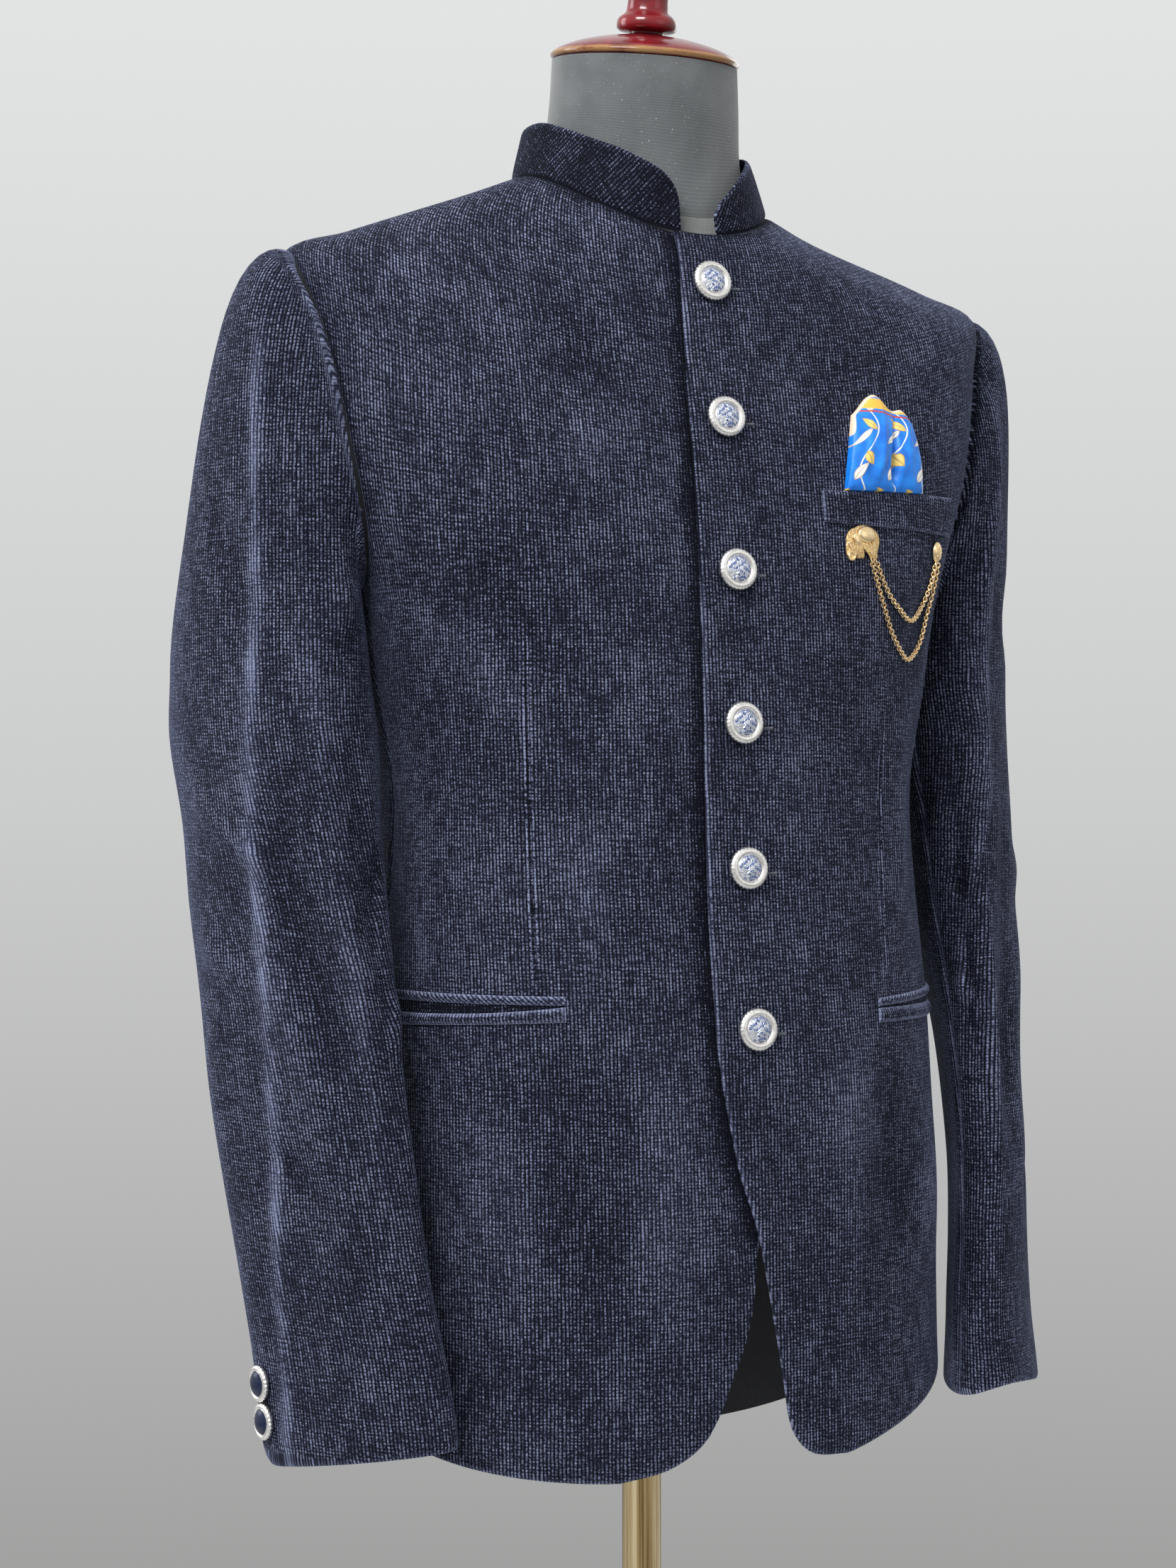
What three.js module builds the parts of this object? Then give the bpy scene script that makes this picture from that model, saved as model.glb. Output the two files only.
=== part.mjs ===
// A bandhgala jacket on a limbless dress form with a turned neck cap, a pole and a round base.
// Millimetres, +Z up. The front faces -Y and the wearer's left is +X.
// The origin is on the floor, under the middle of the pole.

import * as THREE from "three";
import { mergeVertices } from "three/addons/utils/BufferGeometryUtils.js";

// Driving dimensions
const wall = 2.4; // velvet and lining together
const seamGap = 0.3; // between pieces that are sewn to each other
const armholeGap = 0.36; // between a sleeve and its armhole
const lapGap = 0.7; // between the two fronts where they lap
const quarterTurn = Math.PI / 2;
const neckAt = 1545; // the level of the neck seam
const tipAt = 1405; // the level of the shoulder tip
const underarmAt = 1238; // the level of the armhole's lowest point
const cornerAt = 862; // below this level the fronts are cut away
const shoulderRoll = 1.8; // how roundly the shoulder turns from front to back
const button = { radius: 12, height: 6.6, sides: 16, clear: 0.4 };
const cuffButton = { radius: 10, height: 5.6, sides: 14, clear: 0.4 };
const collarBand = { rightEnd: 13.5, leftEnd: 10, height: 36, sideLean: 11.6, frontLean: 3, sway: -3 };
const collarClear = 0.8;
const collarRow = 16; // the width of the collar's plain columns
const neckMidY = 9;
const patchClear = 0.4; // under a piece that lies on a front
const welt = { inner: 61, outer: 168, thick: 2.1 };
const weltBottom = { inner: 1275, outer: 1273.5 };
const weltTop = { inner: 1293.6, outer: 1296.8 };
const square = { bottomInner: 77, bottomOuter: 136, topInner: 87, topOuter: 131, shoulderZ: 1336.5, swell: 8 };
const squareHumps = [
  { at: 0.36, width: 0.25, rise: 19, fold: 1 },
  { at: 0.82, width: 0.14, rise: 7, fold: 0.8 },
];
const waistPockets = [
  { word: "right", side: -1, inner: 107, outerAngle: 1.5, z: 1000.5, rise: 0 },
  { word: "left", side: 1, inner: 88, outerAngle: 1.5, z: 995, rise: 6 },
];
const jet = { edge: 1.4, crown: 0.8 }; // its thickness at the edges, and how much more along the middle
const buttonHeights = [1413, 1333, 1245, 1158, 1076, 986];
const cuffButtonHeights = [790.5, 770];
const cuffButtonTurn = 232; // degrees round the sleeve from its inside
const brooch = { x: 87, z: 1264 };
const stud = { x: 151.5, z: 1263, radius: 6.2 };
const chainRadius = 1.2;
const shortChain = [
  { x: 95.8, z: 1253.6 },
  { x: 103, z: 1238 },
  { x: 111.5, z: 1228.5 },
  { x: 125, z: 1220.5 },
  { x: 139, z: 1229 },
  { x: 145.5, z: 1240 },
  { x: 149.6, z: 1255.6 },
];
const longChain = [
  { x: 92.2, z: 1253.6 },
  { x: 99, z: 1232 },
  { x: 107.5, z: 1212 },
  { x: 118, z: 1200.5 },
  { x: 127, z: 1198 },
  { x: 140, z: 1209 },
  { x: 148.5, z: 1231 },
  { x: 153.6, z: 1255.6 },
];
const formSides = 32;
const neckTuck = 1;
const bottomTuck = 12; // how far the form's lower edge is rounded in
const formClear = { body: 4, shoulder: 0.9, frontBlade: 0.5, backBlade: 3.2 };
const neckTilt = 8; // degrees forward
const neckTop = { y: -4, z: 1556.5 };
const neckRings = [
  { half: 64, front: 67, back: 61, midY: 3, sideZ: 1484, frontZ: 1455, backZ: 1497, roll: 1.8, follow: 1 },
  { half: 59, front: 59.5, back: 58.5, midY: 0, sideZ: 1503, frontZ: 1488, backZ: 1514, roll: 1.5, follow: 0.6 },
  { half: 57, front: 57, back: 57, midY: -3, sideZ: 1530, frontZ: 1523, backZ: 1537, roll: 1, follow: 0 },
  { half: 56, front: 55, back: 55, midY: -4, sideZ: 1556.5, frontZ: 1549, backZ: 1564, roll: 1, follow: 0 },
];
const poleRadius = 12;
const formBottom = 872;
const baseSize = { radius: 175, plate: 9, rim: 4, hub: 26, hubTop: 46 };

// The body's rings from the hem to the neck. Each has its own level, the heights of its side,
// front and back points, its half width, its depth to the front and back, and its squareness.
const bodyRings = [
  { at: 700, sideZ: 700, frontZ: 700, backZ: 700, half: 178, front: 150, back: 108, midY: 0, square: 2.4 },
  { at: 800, sideZ: 800, frontZ: 800, backZ: 800, half: 176, front: 149, back: 114, midY: 0, square: 2.4 },
  { at: 900, sideZ: 900, frontZ: 900, backZ: 900, half: 174, front: 146, back: 117, midY: 0, square: 2.4 },
  { at: 985, sideZ: 985, frontZ: 985, backZ: 985, half: 171, front: 141, back: 107, midY: 0, square: 2.4 },
  { at: 1070, sideZ: 1070, frontZ: 1070, backZ: 1070, half: 163, front: 131, back: 94, midY: 0, square: 2.5 },
  { at: 1125, sideZ: 1125, frontZ: 1125, backZ: 1125, half: 162, front: 127, back: 91, midY: 0, square: 2.5 },
  { at: 1180, sideZ: 1180, frontZ: 1180, backZ: 1180, half: 172, front: 124, back: 98, midY: 0, square: 2.55 },
  { at: 1230, sideZ: 1231, frontZ: 1229, backZ: 1230, half: 180, front: 120, back: 108, midY: 0, square: 2.7 },
  { at: 1305, sideZ: 1318, frontZ: 1290, backZ: 1300, half: 209, front: 112, back: 113, midY: 0, square: 2.5 },
  { at: 1370, sideZ: 1390, frontZ: 1339, backZ: 1362, half: 221, front: 103, back: 110, midY: 0, square: 2.4 },
  { at: 1405, sideZ: 1424, frontZ: 1369, backZ: 1398, half: 226, front: 97, back: 105, midY: 1, square: 2.2 },
  { at: 1440, sideZ: 1437, frontZ: 1393, backZ: 1425, half: 191, front: 94, back: 98, midY: 2, square: 2.1 },
  { at: 1478, sideZ: 1451, frontZ: 1413, backZ: 1450, half: 151, front: 91, back: 88, midY: 4, square: 2.05 },
  { at: 1515, sideZ: 1465, frontZ: 1429, backZ: 1470, half: 111, front: 90, back: 76, midY: 6, square: 2 },
  { at: 1545, sideZ: 1479, frontZ: 1443, backZ: 1487, half: 77, front: 88, back: 64, midY: 9, square: 2 },
];

// The front edge of each half, from the neck down: how far it stands to its own side of the centre.
const leftEdge = [
  { at: 700, x: 24 },
  { at: 760, x: 18 },
  { at: 784, x: 16 },
  { at: 812, x: 11 },
  { at: 847, x: 4 },
  { at: 862, x: 1.5 },
  { at: 880, x: -3 },
  { at: 911, x: -13 },
  { at: 985, x: -24 },
  { at: 1158, x: -23 },
  { at: 1329, x: -22 },
  { at: 1480, x: -18 },
  { at: 1545, x: -18 },
];
const rightEdge = [
  { at: 700, x: 90 },
  { at: 862, x: 0.5 },
  { at: 880, x: -3 },
  { at: 911, x: -10 },
  { at: 985, x: -20 },
  { at: 1480, x: -20 },
  { at: 1545, x: -18 },
];

// The cut-away corners, from the edge at cornerAt to where the level hem begins.
const leftCorner = [
  { x: 1.5, z: 862 },
  { x: 8, z: 826 },
  { x: 14, z: 792 },
  { x: 19, z: 764 },
  { x: 33, z: 748 },
  { x: 58, z: 745 },
];
const rightCorner = [
  { x: 0.5, z: 862 },
  { x: 7, z: 824 },
  { x: 18, z: 794 },
  { x: 33, z: 763 },
  { x: 55, z: 747 },
  { x: 84, z: 740 },
];

// The collar's height along each end, from the edge at the centre front.
const collarHeights = [
  { from: 0, right: 11, left: 6 },
  { from: 0.8, right: 21, left: 10.5 },
  { from: 3.4, right: 26.3, left: 14 },
  { from: 7, right: 30, left: 17.5 },
  { from: 14, right: 33.4, left: 21 },
  { from: 24, right: 35, left: 25.5 },
  { from: 40, right: 35.8, left: 30 },
  { from: 62, right: 33.4, left: 32.5 },
  { from: 92, right: 31.2, left: 33 },
];

// The hem rises from the fronts' corners and from the centre back to each side seam.
const hemBack = 714;
const hems = {
  left: { side: 800, frontPower: 1.1, backPower: 4.5 },
  right: { side: 764, frontPower: 2, backPower: 3 },
};

// The armhole: how far it cuts into the front and the back, in degrees round the body, and how
// much more of that lies low down.
const armholeCut = { front: 10.4, back: 10.8, lean: 0.33 };

// The sleeve's flat ellipses: the middle of each, its half length and half thickness, and how far
// its front end is turned in from straight ahead.
const sleeveRings = [
  { z: 740, x: 206, y: -68, long: 62, thick: 27.5, turn: 36 },
  { z: 800, x: 210, y: -57, long: 62, thick: 26, turn: 36 },
  { z: 850, x: 216, y: -47, long: 62, thick: 24.5, turn: 35 },
  { z: 900, x: 221, y: -37.5, long: 64, thick: 24, turn: 34 },
  { z: 950, x: 224, y: -25.5, long: 66, thick: 25, turn: 33 },
  { z: 1000, x: 225, y: -13, long: 68, thick: 29, turn: 30 },
  { z: 1050, x: 225, y: 2, long: 70, thick: 35, turn: 26 },
  { z: 1100, x: 225, y: 15, long: 71.5, thick: 40, turn: 22 },
  { z: 1150, x: 226, y: 28, long: 76.5, thick: 44, turn: 20 },
  { z: 1190, x: 227, y: 30, long: 72, thick: 43.5, turn: 20 },
  { z: 1250, x: 227, y: 30, long: 71, thick: 44, turn: 20 },
];
const shoulderLevels = [1422, 1440, 1459, 1478, 1515, neckAt];
const bicepZ = 1190;
const cuffZ = { back: 744, front: 762 };
const roundSleeve = 20; // points round a sleeve
const frontSeam = 3; // where the top sleeve begins, counted from under the arm
const backSeam = 15; // where it ends
const headRows = 6;
const armRows = 11;
const crown = { side: 55, topMore: 38, spread: 37, drop: 16, dropMore: 22.5 };
const crownRoll = { out: 16, up: 8 }; // the fullness just outside the armhole's top
const slope = { rise: 7, from: 1250, over: 170, width: 55, tipShare: 0.45, front: 80 };
const cuffVent = { turn: 256, width: 15, rise: 9 }; // the cuff's cut corner, in degrees round it

const velvetColour = 0x1e2034;
const silverColour = 0xc9c9cf;
const goldColour = 0xd9ab52;
const brassColour = 0xb9a98a;

function cloth(colour = velvetColour) {
  return new THREE.MeshStandardMaterial({ color: colour, roughness: 0.95, metalness: 0 });
}

function metal(colour, roughness = 0.3) {
  return new THREE.MeshStandardMaterial({ color: colour, roughness, metalness: 1 });
}

// Reads one column of a table at any level, on a smooth curve through its rows.
function readTable(table, key, level, by = "at") {
  const last = table.length - 1;
  let i = 0;
  while (i < last - 1 && level > table[i + 1][by]) {
    i += 1;
  }
  const slope = (k) => {
    const low = table[Math.max(k - 1, 0)];
    const high = table[Math.min(k + 1, last)];
    return (high[key] - low[key]) / (high[by] - low[by]);
  };
  const span = table[i + 1][by] - table[i][by];
  const t = (level - table[i][by]) / span;
  const t2 = t * t;
  const t3 = t2 * t;
  const value = (2 * t3 - 3 * t2 + 1) * table[i][key] + (3 * t2 - 2 * t3) * table[i + 1][key];
  return value + span * ((t3 - 2 * t2 + t) * slope(i) + (t3 - t2) * slope(i + 1));
}

function mix(a, b, t) {
  return a + (b - a) * t;
}

function ease(t) {
  const s = THREE.MathUtils.clamp(t, 0, 1);
  return s * s * (3 - 2 * s);
}

// The jacket sits a little higher on the wearer's right shoulder than on the left one.
function settled(point) {
  const side = Math.tanh(point.x / slope.width);
  const toTip = ease((Math.abs(point.x) - 80) / 150);
  const toBack = ease((point.y + slope.front) / slope.front);
  const share = ease((point.z - slope.from) / slope.over) * (1 - slope.tipShare * toTip) * toBack;
  return point.setZ(point.z - slope.rise * side * share);
}

// A point of the body's outer cloth. The angle is 0 at the centre front and grows to the wearer's left.
function bodyPoint(angle, at) {
  const ring = (key) => readTable(bodyRings, key, at);
  const half = ring("half");
  const square = ring("square");
  const forward = Math.cos(angle) > 0;
  const depth = ring(forward ? "front" : "back");
  const s = Math.abs(Math.sin(angle));
  const c = Math.abs(Math.cos(angle));
  const reach = ((s / half) ** square + (c / depth) ** square) ** (-1 / square);
  const rise = ((reach * c) / depth) ** shoulderRoll;
  const x = reach * s * Math.sign(Math.sin(angle));
  const y = ring("midY") + (forward ? -1 : 1) * reach * c;
  const z = mix(ring("sideZ"), ring(forward ? "frontZ" : "backZ"), rise);
  return new THREE.Vector3(x, y, z);
}

function bodyNormal(angle, at) {
  const round = bodyPoint(angle + 0.01, at).sub(bodyPoint(angle - 0.01, at));
  const up = bodyPoint(angle, at + 1).sub(bodyPoint(angle, at - 1));
  return round.cross(up).normalize();
}

function offBody(angle, at, out) {
  return bodyPoint(angle, at).addScaledVector(bodyNormal(angle, at), out);
}

// The angle at which the ring at this level stands x to the side of the centre front.
function angleAtX(x, at) {
  const half = readTable(bodyRings, "half", at);
  const depth = readTable(bodyRings, "front", at);
  const square = readTable(bodyRings, "square", at);
  const y = depth * (1 - Math.min(Math.abs(x) / half, 0.999) ** square) ** (1 / square);
  return Math.atan2(x, y);
}

// Angles from one place on a ring to another, at even steps along the cloth.
function evenAngles(from, to, at, count) {
  const fine = count * 6;
  const lengths = [0];
  for (let i = 1; i <= fine; i += 1) {
    const a = bodyPoint(mix(from, to, (i - 1) / fine), at);
    lengths.push(lengths[i - 1] + a.distanceTo(bodyPoint(mix(from, to, i / fine), at)));
  }
  const angles = [];
  let k = 0;
  for (let i = 0; i <= count; i += 1) {
    const want = (lengths[fine] * i) / count;
    while (k < fine - 1 && lengths[k + 1] < want) {
      k += 1;
    }
    const part = (want - lengths[k]) / (lengths[k + 1] - lengths[k]);
    angles.push(mix(from, to, (k + part) / fine));
  }
  return angles;
}

// The level at which the front stands at height z, x to the side of the centre.
function levelOnFront(x, z) {
  let low = 700;
  let high = 1545;
  for (let i = 0; i < 40; i += 1) {
    const middle = (low + high) / 2;
    if (bodyPoint(angleAtX(x, middle), middle).z < z) {
      low = middle;
    } else {
      high = middle;
    }
  }
  return (low + high) / 2;
}

// A point on the front by its distance from the centre and its height, moved out from the cloth.
function onFront(x, z, out) {
  const at = levelOnFront(x, z);
  return offBody(angleAtX(x, at), at, out);
}

// Turns lists of points and triangles into one closed geometry with its faces pointing out.
function closedGeometry(points, triangles) {
  let volume = 0;
  for (const [a, b, c] of triangles) {
    volume += points[a].dot(new THREE.Vector3().crossVectors(points[b], points[c]));
  }
  const index = volume < 0 ? triangles.flatMap(([a, b, c]) => [a, c, b]) : triangles.flat();
  const geometry = new THREE.BufferGeometry();
  const numbers = points.flatMap((p) => p.toArray());
  geometry.setAttribute("position", new THREE.Float32BufferAttribute(numbers, 3));
  geometry.setIndex(index);
  return mergeVertices(geometry, 1e-4);
}

// A wall between two grids of rows of points, closed along its four edges.
function wallGeometry(outer, inner) {
  const rows = outer.length;
  const columns = outer[0].length;
  const points = [...outer.flat(), ...inner.flat()];
  const inside = rows * columns;
  const triangles = [];
  const quad = (a, b, c, d) => triangles.push([a, b, c], [a, c, d]);
  for (let j = 0; j < rows - 1; j += 1) {
    for (let i = 0; i < columns - 1; i += 1) {
      const a = j * columns + i;
      quad(a, a + 1, a + columns + 1, a + columns);
      quad(inside + a + columns, inside + a + columns + 1, inside + a + 1, inside + a);
    }
  }
  const rim = [];
  for (let i = 0; i < columns - 1; i += 1) {
    rim.push(i);
  }
  for (let j = 0; j < rows - 1; j += 1) {
    rim.push(j * columns + columns - 1);
  }
  for (let i = columns - 1; i > 0; i -= 1) {
    rim.push((rows - 1) * columns + i);
  }
  for (let j = rows - 1; j > 0; j -= 1) {
    rim.push(j * columns);
  }
  rim.forEach((a, k) => {
    const b = rim[(k + 1) % rim.length];
    if (b < a) {
      triangles.push([b, a, inside + a], [b, inside + a, inside + b]);
    } else {
      triangles.push([b, a, inside + b], [a, inside + a, inside + b]);
    }
  });
  return closedGeometry(points, triangles);
}

// A solid through rings of points, closed at both ends by a fan to the ring's middle.
function loftGeometry(rings) {
  const round = rings[0].length;
  const points = rings.flat();
  const triangles = [];
  for (let j = 0; j < rings.length - 1; j += 1) {
    for (let i = 0; i < round; i += 1) {
      const a = j * round + i;
      const b = j * round + ((i + 1) % round);
      triangles.push([a, b, b + round], [a, b + round, a + round]);
    }
  }
  [0, rings.length - 1].forEach((j) => {
    const middle = points.length;
    const sum = rings[j].reduce((total, p) => total.add(p), new THREE.Vector3());
    points.push(sum.divideScalar(round));
    for (let i = 0; i < round; i += 1) {
      const a = j * round + i;
      const b = j * round + ((i + 1) % round);
      triangles.push(j === 0 ? [b, a, middle] : [a, b, middle]);
    }
  });
  return closedGeometry(points, triangles);
}

// A turned solid from a profile of radii and heights.
function turned(profile, sides) {
  const line = profile.map(([r, h]) => new THREE.Vector2(r, h));
  return new THREE.LatheGeometry(line, sides).rotateX(quarterTurn);
}

const group = new THREE.Group();

function add(name, geometry, material) {
  const mesh = new THREE.Mesh(geometry, material);
  mesh.name = name;
  group.add(mesh);
  return mesh;
}

// Half a seam's gap, as an angle round the body at this place.
function halfGap(angle, at) {
  const step = bodyPoint(angle + 0.005, at).distanceTo(bodyPoint(angle - 0.005, at)) / 0.01;
  return seamGap / 2 / step;
}

// How deep the right front lies under the left one.
function lapSink(x, at) {
  const edge = -readTable(leftEdge, "x", at);
  return (wall + lapGap) * (1 - ease((x - edge - 3) / 22)) * ease((at - cornerAt + 40) / 40);
}

function armLevels() {
  const levels = [];
  const middle = (underarmAt + tipAt) / 2;
  const reach = (tipAt - underarmAt) / 2;
  for (let k = 0; k <= roundSleeve / 2; k += 1) {
    levels.push(middle - reach * Math.cos((2 * Math.PI * k) / roundSleeve));
  }
  return levels;
}

// The angle of the side seam, armhole or shoulder seam at a level, on the front or on the back.
function outerAngle(at, isFront) {
  const middle = (underarmAt + tipAt) / 2;
  const reach = (tipAt - underarmAt) / 2;
  const t = (at - middle) / reach;
  const away = Math.sqrt(Math.max(0, 1 - t ** 2)) * (1 - armholeCut.lean * t);
  const cut = THREE.MathUtils.degToRad(isFront ? armholeCut.front : armholeCut.back) * away;
  const gap = halfGap(quarterTurn, at);
  return isFront ? quarterTurn - Math.max(cut, gap) : quarterTurn + Math.max(cut, gap);
}

function levelsAboveCorner() {
  const below = [cornerAt, 885, 915, 950, 985, 1030, 1077, 1125, 1170, 1208];
  return [...below, ...armLevels(), ...shoulderLevels];
}

// One front, as rows of places on the body from the hem to the neck.
function frontPlaces(side) {
  const edge = side > 0 ? leftEdge : rightEdge;
  const corner = side > 0 ? leftCorner : rightCorner;
  const sideHem = side > 0 ? hems.left : hems.right;
  const hemFront = corner[corner.length - 1].z;
  const evenly = 8;
  const across = (at) => {
    const edgeX = readTable(edge, "x", at);
    const lapX = Math.max(-readTable(leftEdge, "x", at) + 4, edgeX + 4);
    const clearX = lapX + 22;
    const start = angleAtX(clearX, at);
    const end = outerAngle(at, true);
    const angles = [edgeX, mix(edgeX, lapX, 0.5), lapX].map((x) => angleAtX(x, at));
    return [...angles, ...evenAngles(start, end, at, evenly)].map((angle) => ({ angle, at }));
  };
  const upper = levelsAboveCorner().map(across);
  const columns = upper[0].length;
  const cornerColumns = 5;
  const cornerCurve = new THREE.CatmullRomCurve3(corner.map(({ x, z }) => new THREE.Vector3(x, 0, z)));
  const bottom = upper[0].map((place, i) => {
    if (i <= cornerColumns) {
      const p = cornerCurve.getPoint(i / cornerColumns);
      return { angle: angleAtX(p.x, p.z), at: p.z };
    }
    const t = (i - cornerColumns) / (columns - 1 - cornerColumns);
    const from = angleAtX(corner[corner.length - 1].x, hemFront);
    const at = mix(hemFront, sideHem.side, t ** sideHem.frontPower);
    return { angle: mix(from, outerAngle(at, true), t), at };
  });
  const hemRows = 4;
  const lower = [];
  for (let j = 0; j < hemRows; j += 1) {
    lower.push(bottom.map((place, i) => ({
      angle: mix(place.angle, upper[0][i].angle, j / hemRows),
      at: mix(place.at, upper[0][i].at, j / hemRows),
    })));
  }
  return [...lower, ...upper];
}

function backPlaces(side) {
  const sideHem = side > 0 ? hems.left : hems.right;
  const columns = 8;
  const hemRows = 4;
  const levels = levelsAboveCorner();
  const across = (at) => {
    const start = outerAngle(at, false);
    const end = Math.PI - halfGap(Math.PI, at);
    return evenAngles(start, end, at, columns).map((angle) => ({ angle, at }));
  };
  const upper = levels.map(across);
  const lower = [];
  for (let j = 0; j < hemRows; j += 1) {
    lower.push(upper[0].map(({ angle, at }) => {
      const toSeam = 2 - angle / quarterTurn;
      const bottom = mix(hemBack, sideHem.side, toSeam ** sideHem.backPower);
      return { angle, at: mix(bottom, at, j / hemRows) };
    }));
  }
  return [...lower, ...upper];
}

function mirrored(point, side) {
  return settled(new THREE.Vector3(point.x * side, point.y, point.z));
}

function panelGeometry(places, side, sink) {
  const skin = (depth) => places.map((row) => row.map(({ angle, at }) => {
    const flat = bodyPoint(angle, at);
    return mirrored(offBody(angle, at, -depth - sink(flat.x, at, angle)), side);
  }));
  return wallGeometry(skin(0), skin(wall));
}

function addPanels() {
  const level = () => 0;
  const underLap = (x, at, angle) => (Math.abs(angle) < 1 ? lapSink(x, at) : 0);
  add("front_left", panelGeometry(frontPlaces(1), 1, level), cloth());
  add("front_right", panelGeometry(frontPlaces(-1), -1, underLap), cloth());
  add("back_left", panelGeometry(backPlaces(1), 1, level), cloth());
  add("back_right", panelGeometry(backPlaces(-1), -1, level), cloth());
}

// A point of the sleeve's lower part. At turn 0 it faces the body, then front, outside and back.
function sleevePoint(turn, z) {
  const ring = (key) => readTable(sleeveRings, key, z, "z");
  const t = turn - quarterTurn;
  const inward = THREE.MathUtils.degToRad(ring("turn"));
  const along = ring("long") * Math.cos(t);
  const across = ring("thick") * Math.sin(t);
  const x = ring("x") - along * Math.sin(inward) + across * Math.cos(inward);
  const y = ring("y") - along * Math.cos(inward) - across * Math.sin(inward);
  return new THREE.Vector3(x, y, z);
}

// The armhole's edge, once round from under the arm: its outer points and its normals.
function armholeLoop() {
  const levels = armLevels();
  const half = roundSleeve / 2;
  const loop = [];
  for (let k = 0; k < roundSleeve; k += 1) {
    const isFront = k <= half;
    const at = levels[isFront ? k : roundSleeve - k];
    const angle = k === 0 || k === half ? quarterTurn : outerAngle(at, isFront);
    loop.push({ point: bodyPoint(angle, at), normal: bodyNormal(angle, at) });
  }
  return loop;
}

// The sleeve's outer points, rows down the arm by points round it, and the same for its normals.
function sleeveGrid() {
  const loop = armholeLoop();
  const sum = loop.reduce((total, { point }) => total.add(point), new THREE.Vector3());
  const middle = sum.divideScalar(loop.length);
  const turnOf = (k) => (2 * Math.PI * k) / roundSleeve;
  const starts = loop.map(({ point, normal }) => {
    const inward = middle.clone().sub(point);
    inward.addScaledVector(normal, -inward.dot(normal)).normalize();
    return point.clone().addScaledVector(inward, armholeGap);
  });
  const rows = [starts];
  for (let j = 1; j <= headRows; j += 1) {
    const v = j / headRows;
    rows.push(starts.map((start, k) => {
      const c = Math.cos(turnOf(k));
      const out = crown.side - crown.topMore * c;
      const forward = -crown.spread * Math.sin(turnOf(k));
      const leave = new THREE.Vector3(out, forward, -crown.drop - crown.dropMore * c);
      const end = sleevePoint(turnOf(k), bicepZ);
      const down = end.clone().sub(sleevePoint(turnOf(k), bicepZ + 1));
      const arrive = down.multiplyScalar(end.distanceTo(start));
      const p = start.clone().multiplyScalar(2 * v ** 3 - 3 * v ** 2 + 1);
      p.addScaledVector(leave, v ** 3 - 2 * v ** 2 + v);
      p.addScaledVector(end, 3 * v ** 2 - 2 * v ** 3);
      p.addScaledVector(arrive, v ** 3 - v ** 2);
      const roll = 2 * (1 - c) * v * (1 - v) ** 3;
      return p.add(new THREE.Vector3(crownRoll.out * roll, 0, crownRoll.up * roll));
    }));
  }
  for (let j = 1; j <= armRows; j += 1) {
    rows.push(starts.map((start, k) => {
      const front = (1 + Math.sin(turnOf(k))) / 2;
      const fromVent = (THREE.MathUtils.radToDeg(turnOf(k)) - cuffVent.turn) / cuffVent.width;
      const end = mix(cuffZ.back, cuffZ.front, front) + cuffVent.rise * Math.exp(-(fromVent ** 2));
      return sleevePoint(turnOf(k), mix(bicepZ, end, j / armRows));
    }));
  }
  const normals = rows.map((row, j) => row.map((p, k) => {
    if (j === 0) {
      return loop[k].normal.clone();
    }
    const next = row[(k + 1) % roundSleeve];
    const before = row[(k + roundSleeve - 1) % roundSleeve];
    const below = rows[Math.min(j + 1, rows.length - 1)][k];
    const above = rows[j - 1][k];
    return next.clone().sub(before).cross(above.clone().sub(below)).normalize();
  }));
  return { rows, normals };
}

// One piece of a sleeve, from one seam to the other, half a gap short of each.
function sleevePiece(grid, from, to, side) {
  const skin = (depth) => grid.rows.map((row, j) => {
    const points = [];
    for (let k = from; k <= to; k += 1) {
      const i = k % roundSleeve;
      const p = row[i].clone().addScaledVector(grid.normals[j][i], -depth);
      const shift = k === from ? 1 : k === to ? -1 : 0;
      if (shift !== 0) {
        const toward = row[(i + shift + roundSleeve) % roundSleeve].clone().sub(row[i]).normalize();
        p.addScaledVector(toward, seamGap / 2);
      }
      points.push(mirrored(p, side));
    }
    return points;
  });
  return wallGeometry(skin(0), skin(wall));
}

function addSleeves() {
  const grid = sleeveGrid();
  [["left", 1], ["right", -1]].forEach(([word, side]) => {
    add(`sleeve_top_${word}`, sleevePiece(grid, frontSeam, backSeam, side), cloth());
    add(`sleeve_under_${word}`, sleevePiece(grid, backSeam, roundSleeve + frontSeam, side), cloth());
  });
}

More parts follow.
